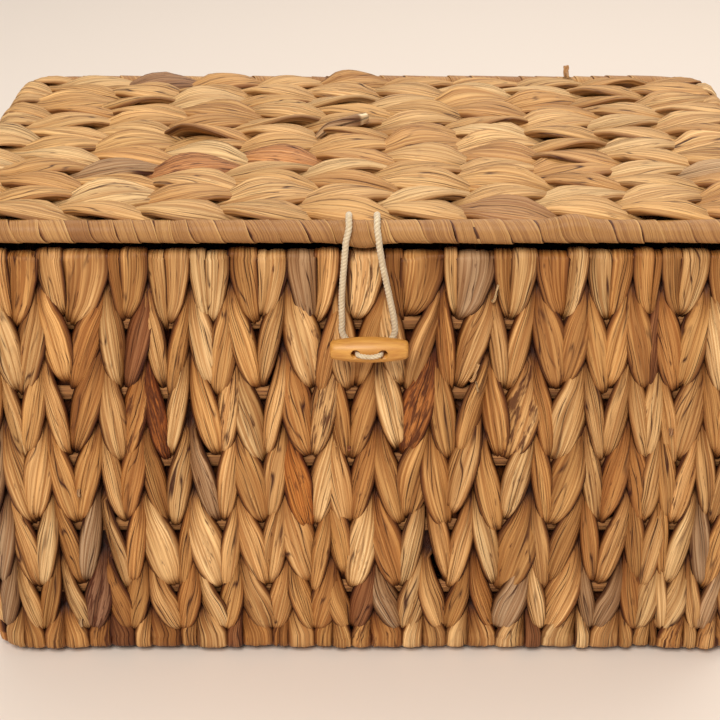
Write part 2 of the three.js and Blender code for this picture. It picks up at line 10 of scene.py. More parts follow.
import bpy
import numpy as np
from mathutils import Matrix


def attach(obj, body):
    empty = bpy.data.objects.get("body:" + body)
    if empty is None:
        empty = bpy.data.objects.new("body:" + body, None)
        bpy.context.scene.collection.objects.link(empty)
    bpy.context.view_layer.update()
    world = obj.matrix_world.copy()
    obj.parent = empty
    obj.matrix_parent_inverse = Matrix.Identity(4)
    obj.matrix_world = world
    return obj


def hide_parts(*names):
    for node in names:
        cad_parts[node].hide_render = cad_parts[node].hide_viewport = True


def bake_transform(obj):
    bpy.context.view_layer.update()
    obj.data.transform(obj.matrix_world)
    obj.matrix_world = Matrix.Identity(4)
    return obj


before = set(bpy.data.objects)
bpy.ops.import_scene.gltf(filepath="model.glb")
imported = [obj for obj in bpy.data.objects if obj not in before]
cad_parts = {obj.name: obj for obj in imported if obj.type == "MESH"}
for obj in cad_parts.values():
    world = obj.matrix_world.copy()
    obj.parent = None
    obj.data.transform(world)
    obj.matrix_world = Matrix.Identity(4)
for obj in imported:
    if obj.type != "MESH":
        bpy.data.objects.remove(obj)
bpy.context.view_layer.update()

# %% [markdown]
# ## Camera
# The photograph looks at the front from a little above, along the middle of the box. The eye point came
# from the picture's perspective: the lid's edges run together at a rate that only one distance gives.

# %% Camera
camera = bpy.data.objects.new("camera", bpy.data.cameras.new("camera"))
camera.data.lens = 78.5
camera.data.sensor_width = 36
camera.data.clip_start = 0.05
camera.location = (-0.0039, -0.718, 0.453)
camera.rotation_euler = (math.radians(64), 0, 0)
bpy.context.collection.objects.link(camera)
bpy.context.scene.camera = camera
print("camera lens", camera.data.lens, "mm")

# %% [markdown]
# ## From rings to meshes
# Leaves, cord and rim strip are all long things with a changing section. Blender's curves could sweep
# one fixed section, but a leaf swells, pleats and turns over as it goes. So each piece is computed as
# rings of points in millimetres with numpy, and one function skins the rings. It also lays every strip
# out flat as its own column of a UV map, and stores what the materials need on each point.

# %% Skin rings of points
MM = 0.001
UV_SIDE, UV_END = 0.06, 0.01
CAP_SIZE, CAP_PLACE, CAP_HEIGHTS = 0.01, 0.02, (0.003, 0.997)


def circle(count):
    return np.linspace(0, 2 * np.pi, count, endpoint=False)


def joined(*coordinates):
    return np.stack(np.broadcast_arrays(*coordinates), -1)


def turned_out(strip):
    half = (len(strip["rings"]) - 1) // 2
    ring, after = strip["rings"][half:half + 2]
    normals = np.cross(np.roll(ring, -1, 0) - ring, after - ring)
    inward = (normals * (ring - ring.mean(0))).sum() < 0
    return {key: values[:, ::-1] for key, values in strip.items()} if inward else strip


def skin(name, strips, material, closed=False, folds=1):
    strips = [turned_out(strip) for strip in strips]
    points, faces, uv, start = [], [], [], 0
    columns = len(strips) * folds
    for number, strip in enumerate(strips):
        count, around = strip["rings"].shape[:2]
        ids = start + np.arange(count * around).reshape(count, around)
        start += ids.size
        points.append(strip["rings"].reshape(-1, 3))
        if not closed:
            faces += [ids[0][::-1].tolist(), ids[-1].tolist()]
            cap = np.exp(1j * circle(around)) * CAP_SIZE / columns
            for height in CAP_HEIGHTS:
                spot = (number * folds + CAP_PLACE) / columns + 1j * height + cap
                uv.append(joined(spot.real, spot.imag))
        else:
            ids = np.vstack([ids, ids[:1]])
        side = [ids[:-1], np.roll(ids[:-1], -1, 1), np.roll(ids[1:], -1, 1), ids[1:]]
        faces += np.stack(side, -1).reshape(-1, 4).tolist()
        rows = np.arange(len(ids) - 1)
        share = math.ceil(len(rows) / folds)
        across = UV_SIDE + (1 - 2 * UV_SIDE) * np.arange(around + 1) / around
        u = np.stack([across[:-1], across[1:], across[1:], across[:-1]], -1)[None]
        u = (number * folds + rows[:, None, None] // share + u) / columns
        v = UV_END + (1 - 2 * UV_END) * ((rows % share)[:, None] + np.array([0, 0, 1, 1])) / share
        uv.append(joined(u, v[:, None]).reshape(-1, 2))
    mesh = bpy.data.meshes.new(name)
    mesh.from_pydata(np.vstack(points) * MM, [], faces)
    layer = mesh.uv_layers.new(name="OFBake")
    layer.data.foreach_set("uv", np.vstack(uv).ravel())
    for key, kind, field in (("tone", "FLOAT_COLOR", "color"), ("fibre", "FLOAT_VECTOR", "vector")):
        if key in strips[0]:
            values = np.vstack([strip[key].reshape(-1, strip[key].shape[2]) for strip in strips])
            mesh.attributes.new(key, kind, "POINT").data.foreach_set(field, values.ravel())
    mesh.shade_smooth()
    mesh.materials.append(material)
    piece = bpy.data.objects.new(name, mesh)
    bpy.context.collection.objects.link(piece)
    print(name, len(faces), "faces")
    return piece


# %% [markdown]
# ## Nodes and colours
# Every material below is a small graph. One function adds a node, sets it and links it, and one turns
# the sRGB colours read off the picture into the linear values that Blender's shaders expect.

# %% Helpers for materials
MIX_A, MIX_B, MIXED = 6, 7, 2


def linear(colour):
    parts = [int(colour[i:i + 2], 16) / 255 for i in (1, 3, 5)]
    return [c / 12.92 if c <= 0.04045 else ((c + 0.055) / 1.055) ** 2.4 for c in parts] + [1.0]


def add_node(tree, kind, inputs, **settings):
    node = tree.nodes.new(kind)
    for name, value in settings.items():
        setattr(node, name, value)
    for socket, value in inputs.items():
        if isinstance(value, bpy.types.NodeSocket):
            tree.links.new(value, node.inputs[socket])
        else:
            node.inputs[socket].default_value = value
    return node


def new_material(name, ior, roughness):
    material = bpy.data.materials.new(name)
    material.use_nodes = True
    shader = material.node_tree.nodes["Principled BSDF"]
    shader.inputs["IOR"].default_value = ior
    shader.inputs["Roughness"].default_value = roughness
    print("material", name)
    return material, material.node_tree, shader


# %% [markdown]
# Nearly every graph needs the same few nodes. These functions add one each and hand back the socket to
# go on from, so that a material reads like a recipe. Noise is given by the spacing of its spots.

# %% Short names for common nodes
def attribute(tree, name):
    return add_node(tree, "ShaderNodeAttribute", {}, attribute_name=name).outputs


def object_space(tree):
    return add_node(tree, "ShaderNodeTexCoord", {}).outputs["Object"]


def noise(tree, place, spacing, detail, roughness=0.5, shift=0.0):
    factors = {0: place, 1: [1 / gap for gap in spacing], 2: (0, 0, shift)}
    lie = add_node(tree, "ShaderNodeVectorMath", factors, operation="MULTIPLY_ADD")
    look = {"Vector": lie.outputs[0], "Scale": 1.0, "Detail": detail, "Roughness": roughness}
    return add_node(tree, "ShaderNodeTexNoise", look).outputs["Fac"]


def remap(tree, value, low, high, to_low=0.0, to_high=1.0):
    limits = {"From Min": low, "From Max": high, "To Min": to_low, "To Max": to_high}
    return add_node(tree, "ShaderNodeMapRange", {"Value": value, **limits}).outputs["Result"]


def mix(tree, share, first, second, how="MIX"):
    first, second = (linear(part) if isinstance(part, str) else part for part in (first, second))
    parts = {0: share, MIX_A: first, MIX_B: second}
    return add_node(tree, "ShaderNodeMix", parts, data_type="RGBA", blend_type=how).outputs[MIXED]


def compute(tree, operation, *values):
    return add_node(tree, "ShaderNodeMath", dict(enumerate(values)), operation=operation).outputs[0]


def dress(tree, shader, colour, height=None, strength=1.0, relief_mm=0.0):
    tree.links.new(colour, shader.inputs["Base Color"])
    if height is not None:
        bump = add_node(tree, "ShaderNodeBump",
                        {"Height": height, "Strength": strength, "Distance": relief_mm * MM})
        tree.links.new(bump.outputs["Normal"], shader.inputs["Normal"])


# %% [markdown]
# ## Dried water-hyacinth leaf
# The stalks are flattened and dried, so the eye sees a satin, pleated ribbon with fine lengthwise veins
# about a millimetre apart, darker streaks, and freckles where the plant was bruised. Image textures
# could carry that, but the veins have to follow every turn of the strand. So each point stores where it
# lies on its ribbon in millimetres, and noise stretched along that ribbon draws the veins. The broad
# leaves of the lid and the base have softer veins and a little more relief than those of the walls.

# %% Leaf material
LEAF_NOISE = {"vein": (0.6, 60, 1.2), "streak": (2.6, 45, 2.0), "drift": (6.0, 60, 1.0),
              "bruise": (1.1, 11, 3.0)}
NOISE_APART, CREASE_GAP = 31.7, 2.1


def leaf_finish(name, dark_vein, pale_vein, crease_depth, relief_mm):
    material, tree, shader = new_material(name, 1.45, 0.6)
    shader.inputs["Specular IOR Level"].default_value = 0.3
    tone, fibre = attribute(tree, "tone"), attribute(tree, "fibre")["Vector"]
    drawn = {kind: noise(tree, fibre, (across, along, 1), detail, 0.6, NOISE_APART * number)
             for number, (kind, (across, along, detail)) in enumerate(LEAF_NOISE.items())}
    veins = mix(tree, remap(tree, drawn["vein"], 0.38, 0.62), dark_vein, pale_vein)
    bands = remap(tree, drawn["streak"], 0.3, 0.7, 0.84, 1.12)
    colour = mix(tree, 1.0, mix(tree, 1.0, tone["Color"], bands, "MULTIPLY"), veins, "MULTIPLY")
    apart = add_node(tree, "ShaderNodeSeparateXYZ", {0: fibre}).outputs
    spaced = compute(tree, "MULTIPLY_ADD", apart["X"], 1 / CREASE_GAP, apart["Z"])
    bent = compute(tree, "MULTIPLY_ADD", drawn["drift"], 6.5, spaced)
    crease = remap(tree, compute(tree, "PINGPONG", bent, 0.5), 0.02, 0.14, 1.0, 0.0)
    crease_relief_and_shade = compute(tree, "MULTIPLY", crease, remap(tree, drawn["streak"], 0.38, 0.53, crease_depth, 0.14))
    # The creases are darkened with painted shade, and they are grooves in the bump as well.
    colour = mix(tree, crease_relief_and_shade, colour, "#3A1407")
    prone = compute(tree, "MULTIPLY_ADD", tone["Alpha"], 0.2, drawn["bruise"])
    colour = mix(tree, remap(tree, prone, 0.64, 0.74, 0.0, 0.85), colour, "#4A1E08")
    tree.links.new(remap(tree, drawn["streak"], 0.3, 0.7, 0.66, 0.48), shader.inputs["Roughness"])
    ridges = compute(tree, "MULTIPLY_ADD", drawn["streak"], 0.55, drawn["vein"])
    dress(tree, shader, colour, compute(tree, "MULTIPLY_ADD", crease_relief_and_shade, -0.4, ridges), 1.0, relief_mm)
    return material


leaf = leaf_finish("dried_hyacinth_leaf", (0.7, 0.57, 0.46, 1.0), (1.2, 1.23, 1.26, 1.0), 0.95, 0.8)
broad_leaf = leaf_finish("broad_hyacinth_leaf", (0.71, 0.6, 0.5, 1.0), (1.18, 1.21, 1.24, 1.0), 0.95, 0.9)

# %% [markdown]
# ## Smooth paths and tubes
# Cord, ties and lacing are tubes along a smooth path. A Bezier curve with a bevel would do for a plain
# wire, but twisted cord needs grooves that wind round it, so the tube's radius changes with the angle.

# %% Paths and tubes
OFF_PATH = (0.3, 0.2, 0.93)
YARN_RADIUS = 1.5


def travelled(points):
    return np.concatenate([[0], np.linalg.norm(np.diff(points, axis=0), axis=1).cumsum()])


def smooth_path(points, step):
    p = np.asarray(points, float)
    p = np.vstack([2 * p[0] - p[1], p, 2 * p[-1] - p[-2]])
    t = np.linspace(0, 1, 24, endpoint=False)[:, None]
    parts = [0.5 * (2 * b + (c - a) * t + (2 * a - 5 * b + 4 * c - d) * t**2
                    + (3 * b - a - 3 * c + d) * t**3)
             for a, b, c, d in zip(p, p[1:], p[2:], p[3:])]
    line = np.vstack(parts + [p[-2:-1]])
    gone = travelled(line)
    even = np.linspace(0, gone[-1], max(int(gone[-1] / step), 3) + 1)
    return np.column_stack([np.interp(even, gone, line[:, k]) for k in range(3)])


def tube(path, radius, around=16, plies=0, groove=0.0, lay=6.0):
    ahead = np.gradient(path, axis=0)
    ahead /= np.linalg.norm(ahead, axis=1, keepdims=True)
    side = np.cross(ahead, OFF_PATH)
    for i in range(1, len(side)):
        side[i] = side[i - 1] - ahead[i] * np.dot(side[i - 1], ahead[i])
        side[i] /= np.linalg.norm(side[i])
    side[0] /= np.linalg.norm(side[0])
    up = np.cross(ahead, side)
    gone = travelled(path)[:, None]
    angle = circle(around)[None]
    twist = angle - 2 * np.pi * gone / lay
    reach = np.broadcast_to(np.reshape(radius, (-1, 1)), gone.shape)
    reach = reach * (1 - groove * (0.5 - 0.5 * np.cos(plies * twist)) ** 2)
    rings = path[:, None] + reach[..., None] * (np.cos(angle)[..., None] * side[:, None]
                                                + np.sin(angle)[..., None] * up[:, None])
    return {"rings": rings, "fibre": joined(twist * YARN_RADIUS, gone, 0.0)}


# %% [markdown]
# ## Cotton cord
# Three plies of natural cotton, twisted: cream, matt, with a soft groove between the plies and a fine
# fuzz. The plies are in the mesh, and the yarn inside a ply, about half a millimetre, is a bump.

# %% Cotton material
COTTON_TWIST = {"plies": 3, "groove": 0.2, "lay": 5.0}
DIRT_GAP = 100 / 9
cotton, tree, shader = new_material("twisted_cotton", 1.5, 0.85)
fibre = attribute(tree, "fibre")["Vector"]
yarn, dirt = noise(tree, fibre, (0.45, 5, 1), 2.0), noise(tree, fibre, (DIRT_GAP,) * 3, 2.0)
around_cord = add_node(tree, "ShaderNodeSeparateXYZ", {0: fibre}).outputs["X"]
ply = compute(tree, "MULTIPLY", around_cord, COTTON_TWIST["plies"] / YARN_RADIUS)
# The grooves between the plies are darkened with painted shade.
painted_groove_shade = compute(tree, "MULTIPLY_ADD", compute(tree, "COSINE", ply), 0.17, yarn)
cotton_with_groove_shade = mix(tree, painted_groove_shade, "#A5855A", "#F0E2C4")
cream = mix(tree, remap(tree, dirt, 0.45, 0.75, 0.0, 0.45), cotton_with_groove_shade, "#A98A5E")
shader.inputs["Sheen Weight"].default_value = 0.25
shader.inputs["Sheen Roughness"].default_value = 0.6
dress(tree, shader, cream, yarn, 0.6, 0.25)

# %% [markdown]
# ## Closing loop
# One piece of cord makes the loop. Each end is knotted under the lid, comes up between the weave and the
# rim, goes over the rim bar and hangs down the front, and the bight lies behind the toggle. The route is
# the solid's own, and the cord bends where it crosses the bar.

# %% Closing loop
BAR_X, BAR_Y, BAR_Z, BAR_CORNER = 175.0, 108.0, 215.0, 19.0
OVER_BAR, LEFT_LEG, RIGHT_LEG, UNDER_LID = 6.8, -8.5, 3.2, (-101.2, 210.2)
over = [(OVER_BAR * math.cos(a) - BAR_Y, OVER_BAR * math.sin(a) + BAR_Z)
        for a in np.radians([0, 30, 60, 90, 120, 150])]
left_end = [(LEFT_LEG, y, z) for y, z in [UNDER_LID, *over]]
right_end = [(RIGHT_LEG, y, z) for y, z in [*reversed(over), UNDER_LID]]
hanging = [(-9.6, -114.8, 213.5), (-9.9, -114.8, 210.5), (-10.6, -114.2, 201.5), (-11.5, -113.2, 188.5),
           (-11.5, -112.0, 176.0), (-11.1, -111.8, 169.5), (-6.5, -111.8, 163.9), (0.0, -111.8, 162.8),
           (6.5, -111.8, 163.9), (10.6, -111.8, 169.5), (10.6, -112.0, 176.0), (8.3, -113.2, 188.5),
           (5.7, -114.2, 201.5), (4.2, -114.8, 210.5), (3.9, -114.8, 213.5)]
route = smooth_path(left_end + hanging + right_end, 0.7)
cord_length = travelled(route)[-1]
cord = skin("closing_cord", [tube(route, 1.42, 20, **COTTON_TWIST)], cotton, folds=6)
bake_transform(cord)
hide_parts("closing_loop")
print("cord length", round(cord_length, 1), "mm")

# %% [markdown]
# ## Knots
# Each cord end, and the toggle's cord inside the wall, stops in an overhand knot. A blob would do from
# afar. A short tube along a trefoil, which is the overhand knot's own curve, looks like one from nearby.

# %% Knots
def knot(centre, size, thickness, tilt):
    t = circle(72)
    curve = joined(np.sin(t) + 2 * np.sin(2 * t), np.cos(t) - 2 * np.cos(2 * t), -np.sin(3 * t))
    curve = curve * (1, 1, 0.8) * size / 6
    cos, sin = math.cos(tilt), math.sin(tilt)
    turn = np.array([[1, 0, 0], [0, cos, -sin], [0, sin, cos]])
    closed = np.vstack([curve, curve[:2]]) @ turn.T + centre
    return tube(closed, thickness / 2, 10, **COTTON_TWIST)


loop_knots = skin("loop_knots", [knot((LEFT_LEG, -100.4, 209.4), 5.0, 2.4, 0.3),
                                 knot((RIGHT_LEG, -100.4, 209.4), 5.0, 2.4, -0.4)], cotton)
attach(loop_knots, "lid")
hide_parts("loop_end_left", "loop_end_right")

# %% [markdown]
# ## How a strand twines
# A leaf strand is folded over the rim wire, and its two halves twine down the column: each goes in front
# of one hoop and behind the next. The flat leaf comes out beside its neighbour, swells over its hoop,
# slants to the other edge of the column and dives behind the next hoop. Neighbouring columns slant
# opposite ways, which makes the V pattern. A tiled bump map could fake this on a flat wall, but here
# light falls into real gaps. One turn is drawn with a few key values, which a low-pass filter rounds.

# %% One turn of a strand
KEPT_WAVES = 12


def cycle(*keys):
    at, value = np.array(keys).T
    u = np.arange(0, 2, 0.01)
    waves = np.fft.rfft(np.interp(u, at, value, period=2))
    table = np.fft.irfft(waves * np.exp(-0.5 * (np.arange(len(waves)) / KEPT_WAVES) ** 2), len(u))
    return lambda turn: np.interp(turn % 2, np.append(u, 2), np.append(table, table[0]))


SIDEWAYS = cycle((-0.5, -1.0), (-0.2, -0.7), (0.2, 0.0), (0.6, 0.6), (0.9, 0.95), (1.0, 1.0), (1.2, 0.2),
                 (1.35, -0.7))
WALL_FORWARD = cycle((-0.5, 0.15), (-0.35, 0.55), (-0.1, 0.9), (0.1, 1.0), (0.5, 1.0), (0.74, 0.9),
                     (0.85, 0.45), (0.93, -0.2), (1.0, -0.75), (1.15, -1.0), (1.35, -0.8), (1.43, -0.3))
LID_FORWARD = cycle((-0.5, -0.45), (-0.3, 0.1), (-0.05, 0.75), (0.2, 1.0), (0.45, 0.82), (0.7, 0.2),
                    (0.85, -0.3), (1.0, -0.8), (1.2, -1.0), (1.35, -0.85))
WALL_SPREAD = cycle((-0.5, 0.48), (-0.3, 0.7), (0.0, 0.98), (0.25, 1.05), (0.6, 0.9), (0.82, 0.58),
                    (0.95, 0.5), (1.06, 1.0), (1.2, 1.3), (1.38, 0.95))
LID_SPREAD = cycle((-0.5, 0.42), (-0.3, 0.64), (0.0, 1.1), (0.2, 1.2), (0.45, 1.06), (0.75, 0.6),
                   (0.95, 0.42), (1.2, 1.0), (1.4, 0.6))
STOPS = np.concatenate([np.linspace(*span, endpoint=False)
                        for span in ((-0.5, 0.7, 11), (0.7, 1.05, 7), (1.05, 1.5, 4))])
print("stops in a turn", len(STOPS))

# %% [markdown]
# Each leaf then gets its own tone. Most are honey tan, and a few are grey, dark or bruised, as on the
# real box. Leaves that stand out in the photograph are marked by their place. Shade is painted on the
# points too, because soft light alone leaves the leaf too pale: painted shade darkens the recesses and
# the leaf's edges, and a painted highlight lightens a band near one edge of each leaf.

# %% Tones of the leaves, with painted shade and highlight
HALF_FACE = np.array([0.22, 0.45, 0.68, 0.86, 0.95, 1.0])
ACROSS = np.concatenate([-HALF_FACE[::-1], [0], HALF_FACE, np.linspace(1, -1, 7)[1:-1]])
OUTER = np.arange(len(ACROSS)) < 2 * len(HALF_FACE) + 1
LEAF_TONES = [("#E0B27A", 0.16), ("#D4A066", 0.30), ("#C99256", 0.28), ("#BC8248", 0.15),
              ("#B08A66", 0.06), ("#945E38", 0.05)]
MIDDLE_TONE = np.array(linear("#CD985D"))
BRUISES, BRUISE_SHARES = [0.0, 0.35, 0.75], [0.88, 0.09, 0.03]
# These set the painted shade and highlight on the leaves: painted shade turns redder as it darkens, and
# the two masks put painted shade at the leaf edges.
PAINTED_SHADE_HUE = np.array([0.95, 1.3, 1.8, 0.0])
EDGE_PAINTED_SHADE, DARKEST_PAINTED_SHADE, PAINTED_HIGHLIGHT, PAINTED_HIGHLIGHT_PLACE, PAINTED_HIGHLIGHT_WIDTH = 0.92, 0.97, 0.16, 0.6, 0.16
EDGE_SHADE_MASK = np.where(OUTER, np.clip((np.abs(ACROSS) - 0.7) / 0.26, 0, 1) ** 1.2, 1.0)
THIN_EDGE_SHADE_MASK = np.where(OUTER, 0.8 * np.clip((np.abs(ACROSS) - 0.8) / 0.2, 0, 1), 0.1)


def leaf_tones(leaves, weave, rng):
    weights = np.array([w for _, w in LEAF_TONES]) * ([1] * 4 + [weave["odd"]] * 2)
    picks = rng.choice(len(LEAF_TONES), leaves, p=weights / weights.sum())
    tones = np.array([linear(LEAF_TONES[k][0]) for k in picks]) * rng.uniform(0.86, 1.1, (leaves, 1))
    # Each weave's tint is painted light: it sets how bright that weave looks under the lamps, and makes
    # the lid paler and bluer as a painted sheen.
    tones = (tones + (MIDDLE_TONE - tones) * weave["even"]) * weave["painted_light_tint"]
    bruises = rng.choice(BRUISES, leaves, p=BRUISE_SHARES)
    tones[:, 3] = bruises * rng.uniform(0.7, 1.1, leaves) * weave["spots"]
    return tones


def mark_leaves(tones, half, levels, centre, pitch, weave, marks):
    for place, level, colour, spots in marks:
        for m in range(len(tones)):
            at = np.interp(2 * m - half, np.arange(len(levels)), levels)
            if abs(at - level) < 0.5 * weave["step"] and abs(centre(level) - place) < 0.5 * pitch(level):
                tones[m] = linear(colour)[:3] + [spots]


def paint_shade_and_highlight(tones, depth, flat, v_side, weave):
    # Painted shade: darker at mid depth in the weave, at the leaf's edges and on its hidden back. Painted
    # highlight: a lighter band near one edge of each outer face.
    sunk = depth - 0.35 * weave["leaf_thickness"] * (1 - flat)[:, None]
    deep = np.clip(1 - np.abs(2 * sunk / weave["depth"] - 1) ** 1.8, 0, 1)[..., None]
    hidden = np.where(OUTER, 1.0, np.clip((0.9 - depth / weave["depth"]) / 0.4, 0.12, 1))
    painted_shade = 1 - (1 - deep * weave["shade"]) * (1 - EDGE_PAINTED_SHADE * (weave["edges"] * hidden)[..., None])
    ridge = np.exp(-((ACROSS * v_side - PAINTED_HIGHLIGHT_PLACE) / PAINTED_HIGHLIGHT_WIDTH) ** 2)
    painted_highlight = 1 + PAINTED_HIGHLIGHT * np.where(OUTER, ridge, 0)[:, None]
    return tones[:, None] * (1 - DARKEST_PAINTED_SHADE * painted_shade) ** PAINTED_SHADE_HUE * painted_highlight


print("points across a leaf", len(ACROSS))

# %% [markdown]
# Each leaf also has its own width, lift, tilt and place, and hands over to the next one where the strand
# is hidden. The section is a flat lens with pleats, which gather where the leaf is drawn in. In a wall
# the leaf fans out over the rim and under the base, so that neighbours close up there.

# %% Strand geometry
LEAF_VARIETY = {"width": (1.03, 0.19), "lift": (0, 0.4), "tilt": (0, 0.17), "shift": (0, 0.8),
                "early": (0, 1.9)}
WIDTH_LIMITS = (0.8, 1.5)
LEAF_START, HAND_OVER = -0.78, 0.88
RIM_FAN = ([0, 0.2, 0.6, 0.95], [0, 0.02, 0.16, 0.36], [1.16, 1.12, 0.85, 0.4])
FOOT_FAN = ([5.4, 5.6, 5.95], [-0.28, -0.2, 0], [0.62, 0.78, 1.1])
PLEATS, PLEAT_SPANS = 7, ((-0.85, 0.85), (0.2, 0.75), (0.05, 0.12))


def per_leaf(values, turn):
    t = (turn - LEAF_START) / 2
    first = np.clip(np.floor(t).astype(int), 0, len(values) - 2)
    share = np.clip((t - first - HAND_OVER) / (1 - HAND_OVER), 0, 1)
    share = share.reshape((-1,) + (1,) * (values.ndim - 1))
    return values[first] * (1 - share) + values[first + 1] * share


def fan_out(q, c, width, middle, gap, v_side):
    at_rim, at_foot = np.clip((1.12 - q) / 0.15, 0, 1), np.clip((q - 5.35) / 0.15, 0, 1)
    for share, (turns, shifts, widths) in ((at_rim, RIM_FAN), (at_foot, FOOT_FAN)):
        c = c * (1 - share) + (middle + v_side * gap * np.interp(q, turns, shifts)) * share
        width = width * (1 - share) + gap * np.interp(q, turns, widths) * share
    return c, width


def leaf_height(flat, spread, weave, rng):
    grooves = zip(*(rng.uniform(*span, PLEATS) for span in PLEAT_SPANS))
    pleat = sum(deep * np.exp(-((ACROSS - at) / wide) ** 2) for at, deep, wide in grooves)
    face, back = 0.6 * (1 - np.abs(ACROSS) ** 4) ** 0.8, -weave["belly"] * (1 - ACROSS**2)
    crown = np.where(OUTER, face, back) * weave["leaf_thickness"]
    full, gathered = flat * (1.4 - 0.4 * spread), 1.5 - 0.8 * spread
    return crown * full[:, None] - np.where(OUTER, pleat, 0) * gathered[:, None]


def strand(half, ends, levels, centre, pitch, v_side, weave, rng, marks=()):
    q = np.concatenate([STOPS + 2 * m - half for m in range(-1, len(levels) // 2 + 2)])
    q = np.concatenate([[ends[0]], q[(q > ends[0] + 0.02) & (q < ends[1] - 0.02)], [ends[1]]])
    turn, leaves = q + half, len(levels) // 2 + 3
    tones = leaf_tones(leaves, weave, rng)
    mark_leaves(tones, half, levels, centre, pitch, weave, marks)
    own = {key: per_leaf(rng.normal(*how, leaves), turn) for key, how in LEAF_VARIETY.items()}
    level = np.interp(q, np.arange(len(levels)), levels)
    half_depth, spread, flat = weave["depth"] / 2, weave["spread"](turn), np.ones(len(q))
    c = centre(level) + v_side * weave["slant"] * pitch(level) * SIDEWAYS(turn) + own["shift"]
    lift = half_depth - 0.6 * weave["leaf_thickness"] - 0.3 + own["lift"]
    d = half_depth - lift * weave["forward"](turn)
    roll = (weave["roll"] * SIDEWAYS(turn) + own["tilt"])[:, None]
    width = (0.45 * pitch(level) + 0.68 * weave["pitch"]) * np.clip(own["width"], *WIDTH_LIMITS) * spread
    if weave is WALL:
        level = level + own["early"] * np.clip(np.minimum(q, ends[1] - q) / 0.8 - 0.3, 0, 1)
    if weave is WALL and half == 0:
        c, width = fan_out(q, c, width, centre(level), pitch(level), v_side)
        flat = 1 - 0.5 * np.clip((0.9 - q) / 0.5, 0, 1)
    width = (width / 2)[:, None] * ACROSS
    height = leaf_height(flat, spread, weave, rng)
    flatwise = width * np.cos(roll)
    lean = np.clip(np.gradient(c, level), -0.6, 0.6)[:, None]
    gone = travelled(joined(level, c, d))
    depth = d[:, None] + v_side * width * np.sin(roll) - height * np.cos(roll)
    return {
        "c": c[:, None] + flatwise + height * np.sin(roll) * v_side,
        "level": level[:, None] - 0.8 * flatwise * lean,
        "d": depth,
        "tone": paint_shade_and_highlight(per_leaf(tones, turn), depth, flat, v_side, weave),
        "fibre": joined(ACROSS * 0.5 * weave["pitch"], gone[:, None], rng.uniform(0, 900)),
        "width": width, "height": height, "centre": c, "depth": d,
    }


# %% [markdown]
# A strand that stops is drawn in to a small tip, so that the tube closes. The tip lies under the next
# strand or inside the rim, as on the real box.

# %% Closing tips
TIP_SIZE, STORED = 0.08, ("rings", "tone", "fibre")


def tipped(strip):
    middles = strip["rings"].mean(1, keepdims=True)
    tips = middles + TIP_SIZE * (strip["rings"] - middles)
    longer = {key: np.concatenate([strip[key][:1], strip[key], strip[key][-1:]]) for key in STORED}
    longer["rings"][[0, -1]] = tips[[0, -1]]
    return longer


def tinted(strip, tone):
    return {**strip, "tone": np.broadcast_to(tone, strip["rings"].shape[:2] + (4,))}


# %% [markdown]
# ## The walls
# In a wall the column runs downwards. Its half strand in front at the rim folds over the wire and hangs
# a little way down inside. At the bottom it folds under the base ring. The column edges of the front
# were read off the photograph, where V points and gaps alternate, at the top row and at half height.

# %% Wall columns
HALF_WIDTH, HALF_DEPTH, CORNER = 177.0, 110.0, 18.0
# The wall's tint is painted light that sets its brightness and hue, and edges picks its painted edge
# shade.
WALL = {"depth": 13.0, "leaf_thickness": 4.4, "pitch": 10.2, "step": 33.9, "forward": WALL_FORWARD,
        "spread": WALL_SPREAD, "slant": 0.36, "roll": 0.3, "painted_light_tint": np.array([0.97, 1.04, 1.11, 1.0]),
        "shade": 1.0, "edges": EDGE_SHADE_MASK, "belly": 0.45, "odd": 0.55, "even": 0.0, "spots": 1.0}
INNER_LEAF, FOLD_RISE, CORNER_BULGE = 2.9, 2.6, 2.0
READ_AT = [87, 185]
WALL_LEVELS = np.array([202.0, 171.5, 137.6, 103.75, 69.9, 36.0, 11.0])
FRONT_TOP = [-173.1, -161.0, -152.4, -139.8, -129.3, -110.4, -104.4, -93.6, -85.9, -75.9, -68.7, -59.1,
             -47.4, -34.7, -22.8, -12.9, -7.9, 6.0, 14.1, 31.6, 37.0, 52.6, 60.1, 70.5, 83.5, 92.1, 102.2,
             111.4, 119.5, 123.2, 131.5, 142.9, 152.5, 162.5, 173.1]
FRONT_LOW = [-173.1, -162.5, -152.5, -143.0, -132.0, -121.9, -110.2, -102.5, -88.7, -80.9, -66.9, -59.5,
             -45.3, -37.7, -25.5, -16.9, -7.9, 1.5, 16.0, 25.4, 36.7, 47.0, 60.1, 74.1, 81.7, 97.9, 104.7,
             118.2, 125.0, 133.1, 136.7, 148.8, 155.1, 164.0, 173.1]


def fold_over_rim(front, j):
    rise = np.radians(np.linspace(0, 180, 9)[1:])[:, None]
    hang = np.array([4.0, 8.0, 12.0])[:, None]
    share = (1 - np.cos(rise)) / 2
    middle, width = front["centre"][0], front["width"][0]
    height = front["height"][0] * (1 - 0.4 * np.minimum(2 * rise / math.pi, 1))
    inside = WALL["depth"] - INNER_LEAF
    over = {
        "c": middle + width * (1 - 0.15 * share),
        "level": WALL_LEVELS[0] + (FOLD_RISE + 0.8 * math.sin(2.4 * j) + height) * np.sin(rise),
        "d": front["depth"][0] * (1 - share) + inside * share - height * np.cos(rise),
    }
    tail = {"c": middle + width * (0.85 - 0.035 * hang), "level": WALL_LEVELS[0] - hang + 0 * width,
            "d": inside + height[-1] - 0.04 * hang}
    return {key: np.concatenate([over[key], tail[key]]) for key in over}


def fold_under_base(front):
    under = np.radians([90, 72, 54, 36, 18, 0, 0])[:, None]
    width, height = front["width"][-1], front["height"][-1]
    return {
        "c": front["centre"][-1] + width * (1 + 0.1 * np.sin(under)),
        "level": np.array([6.3] * 5 + [7.2, 9.2])[:, None] - (FOLD_RISE + 0.5 * height) * np.sin(under),
        "d": front["depth"][-1] + 5 * (1 - np.cos(under)) - height * np.cos(under),
    }


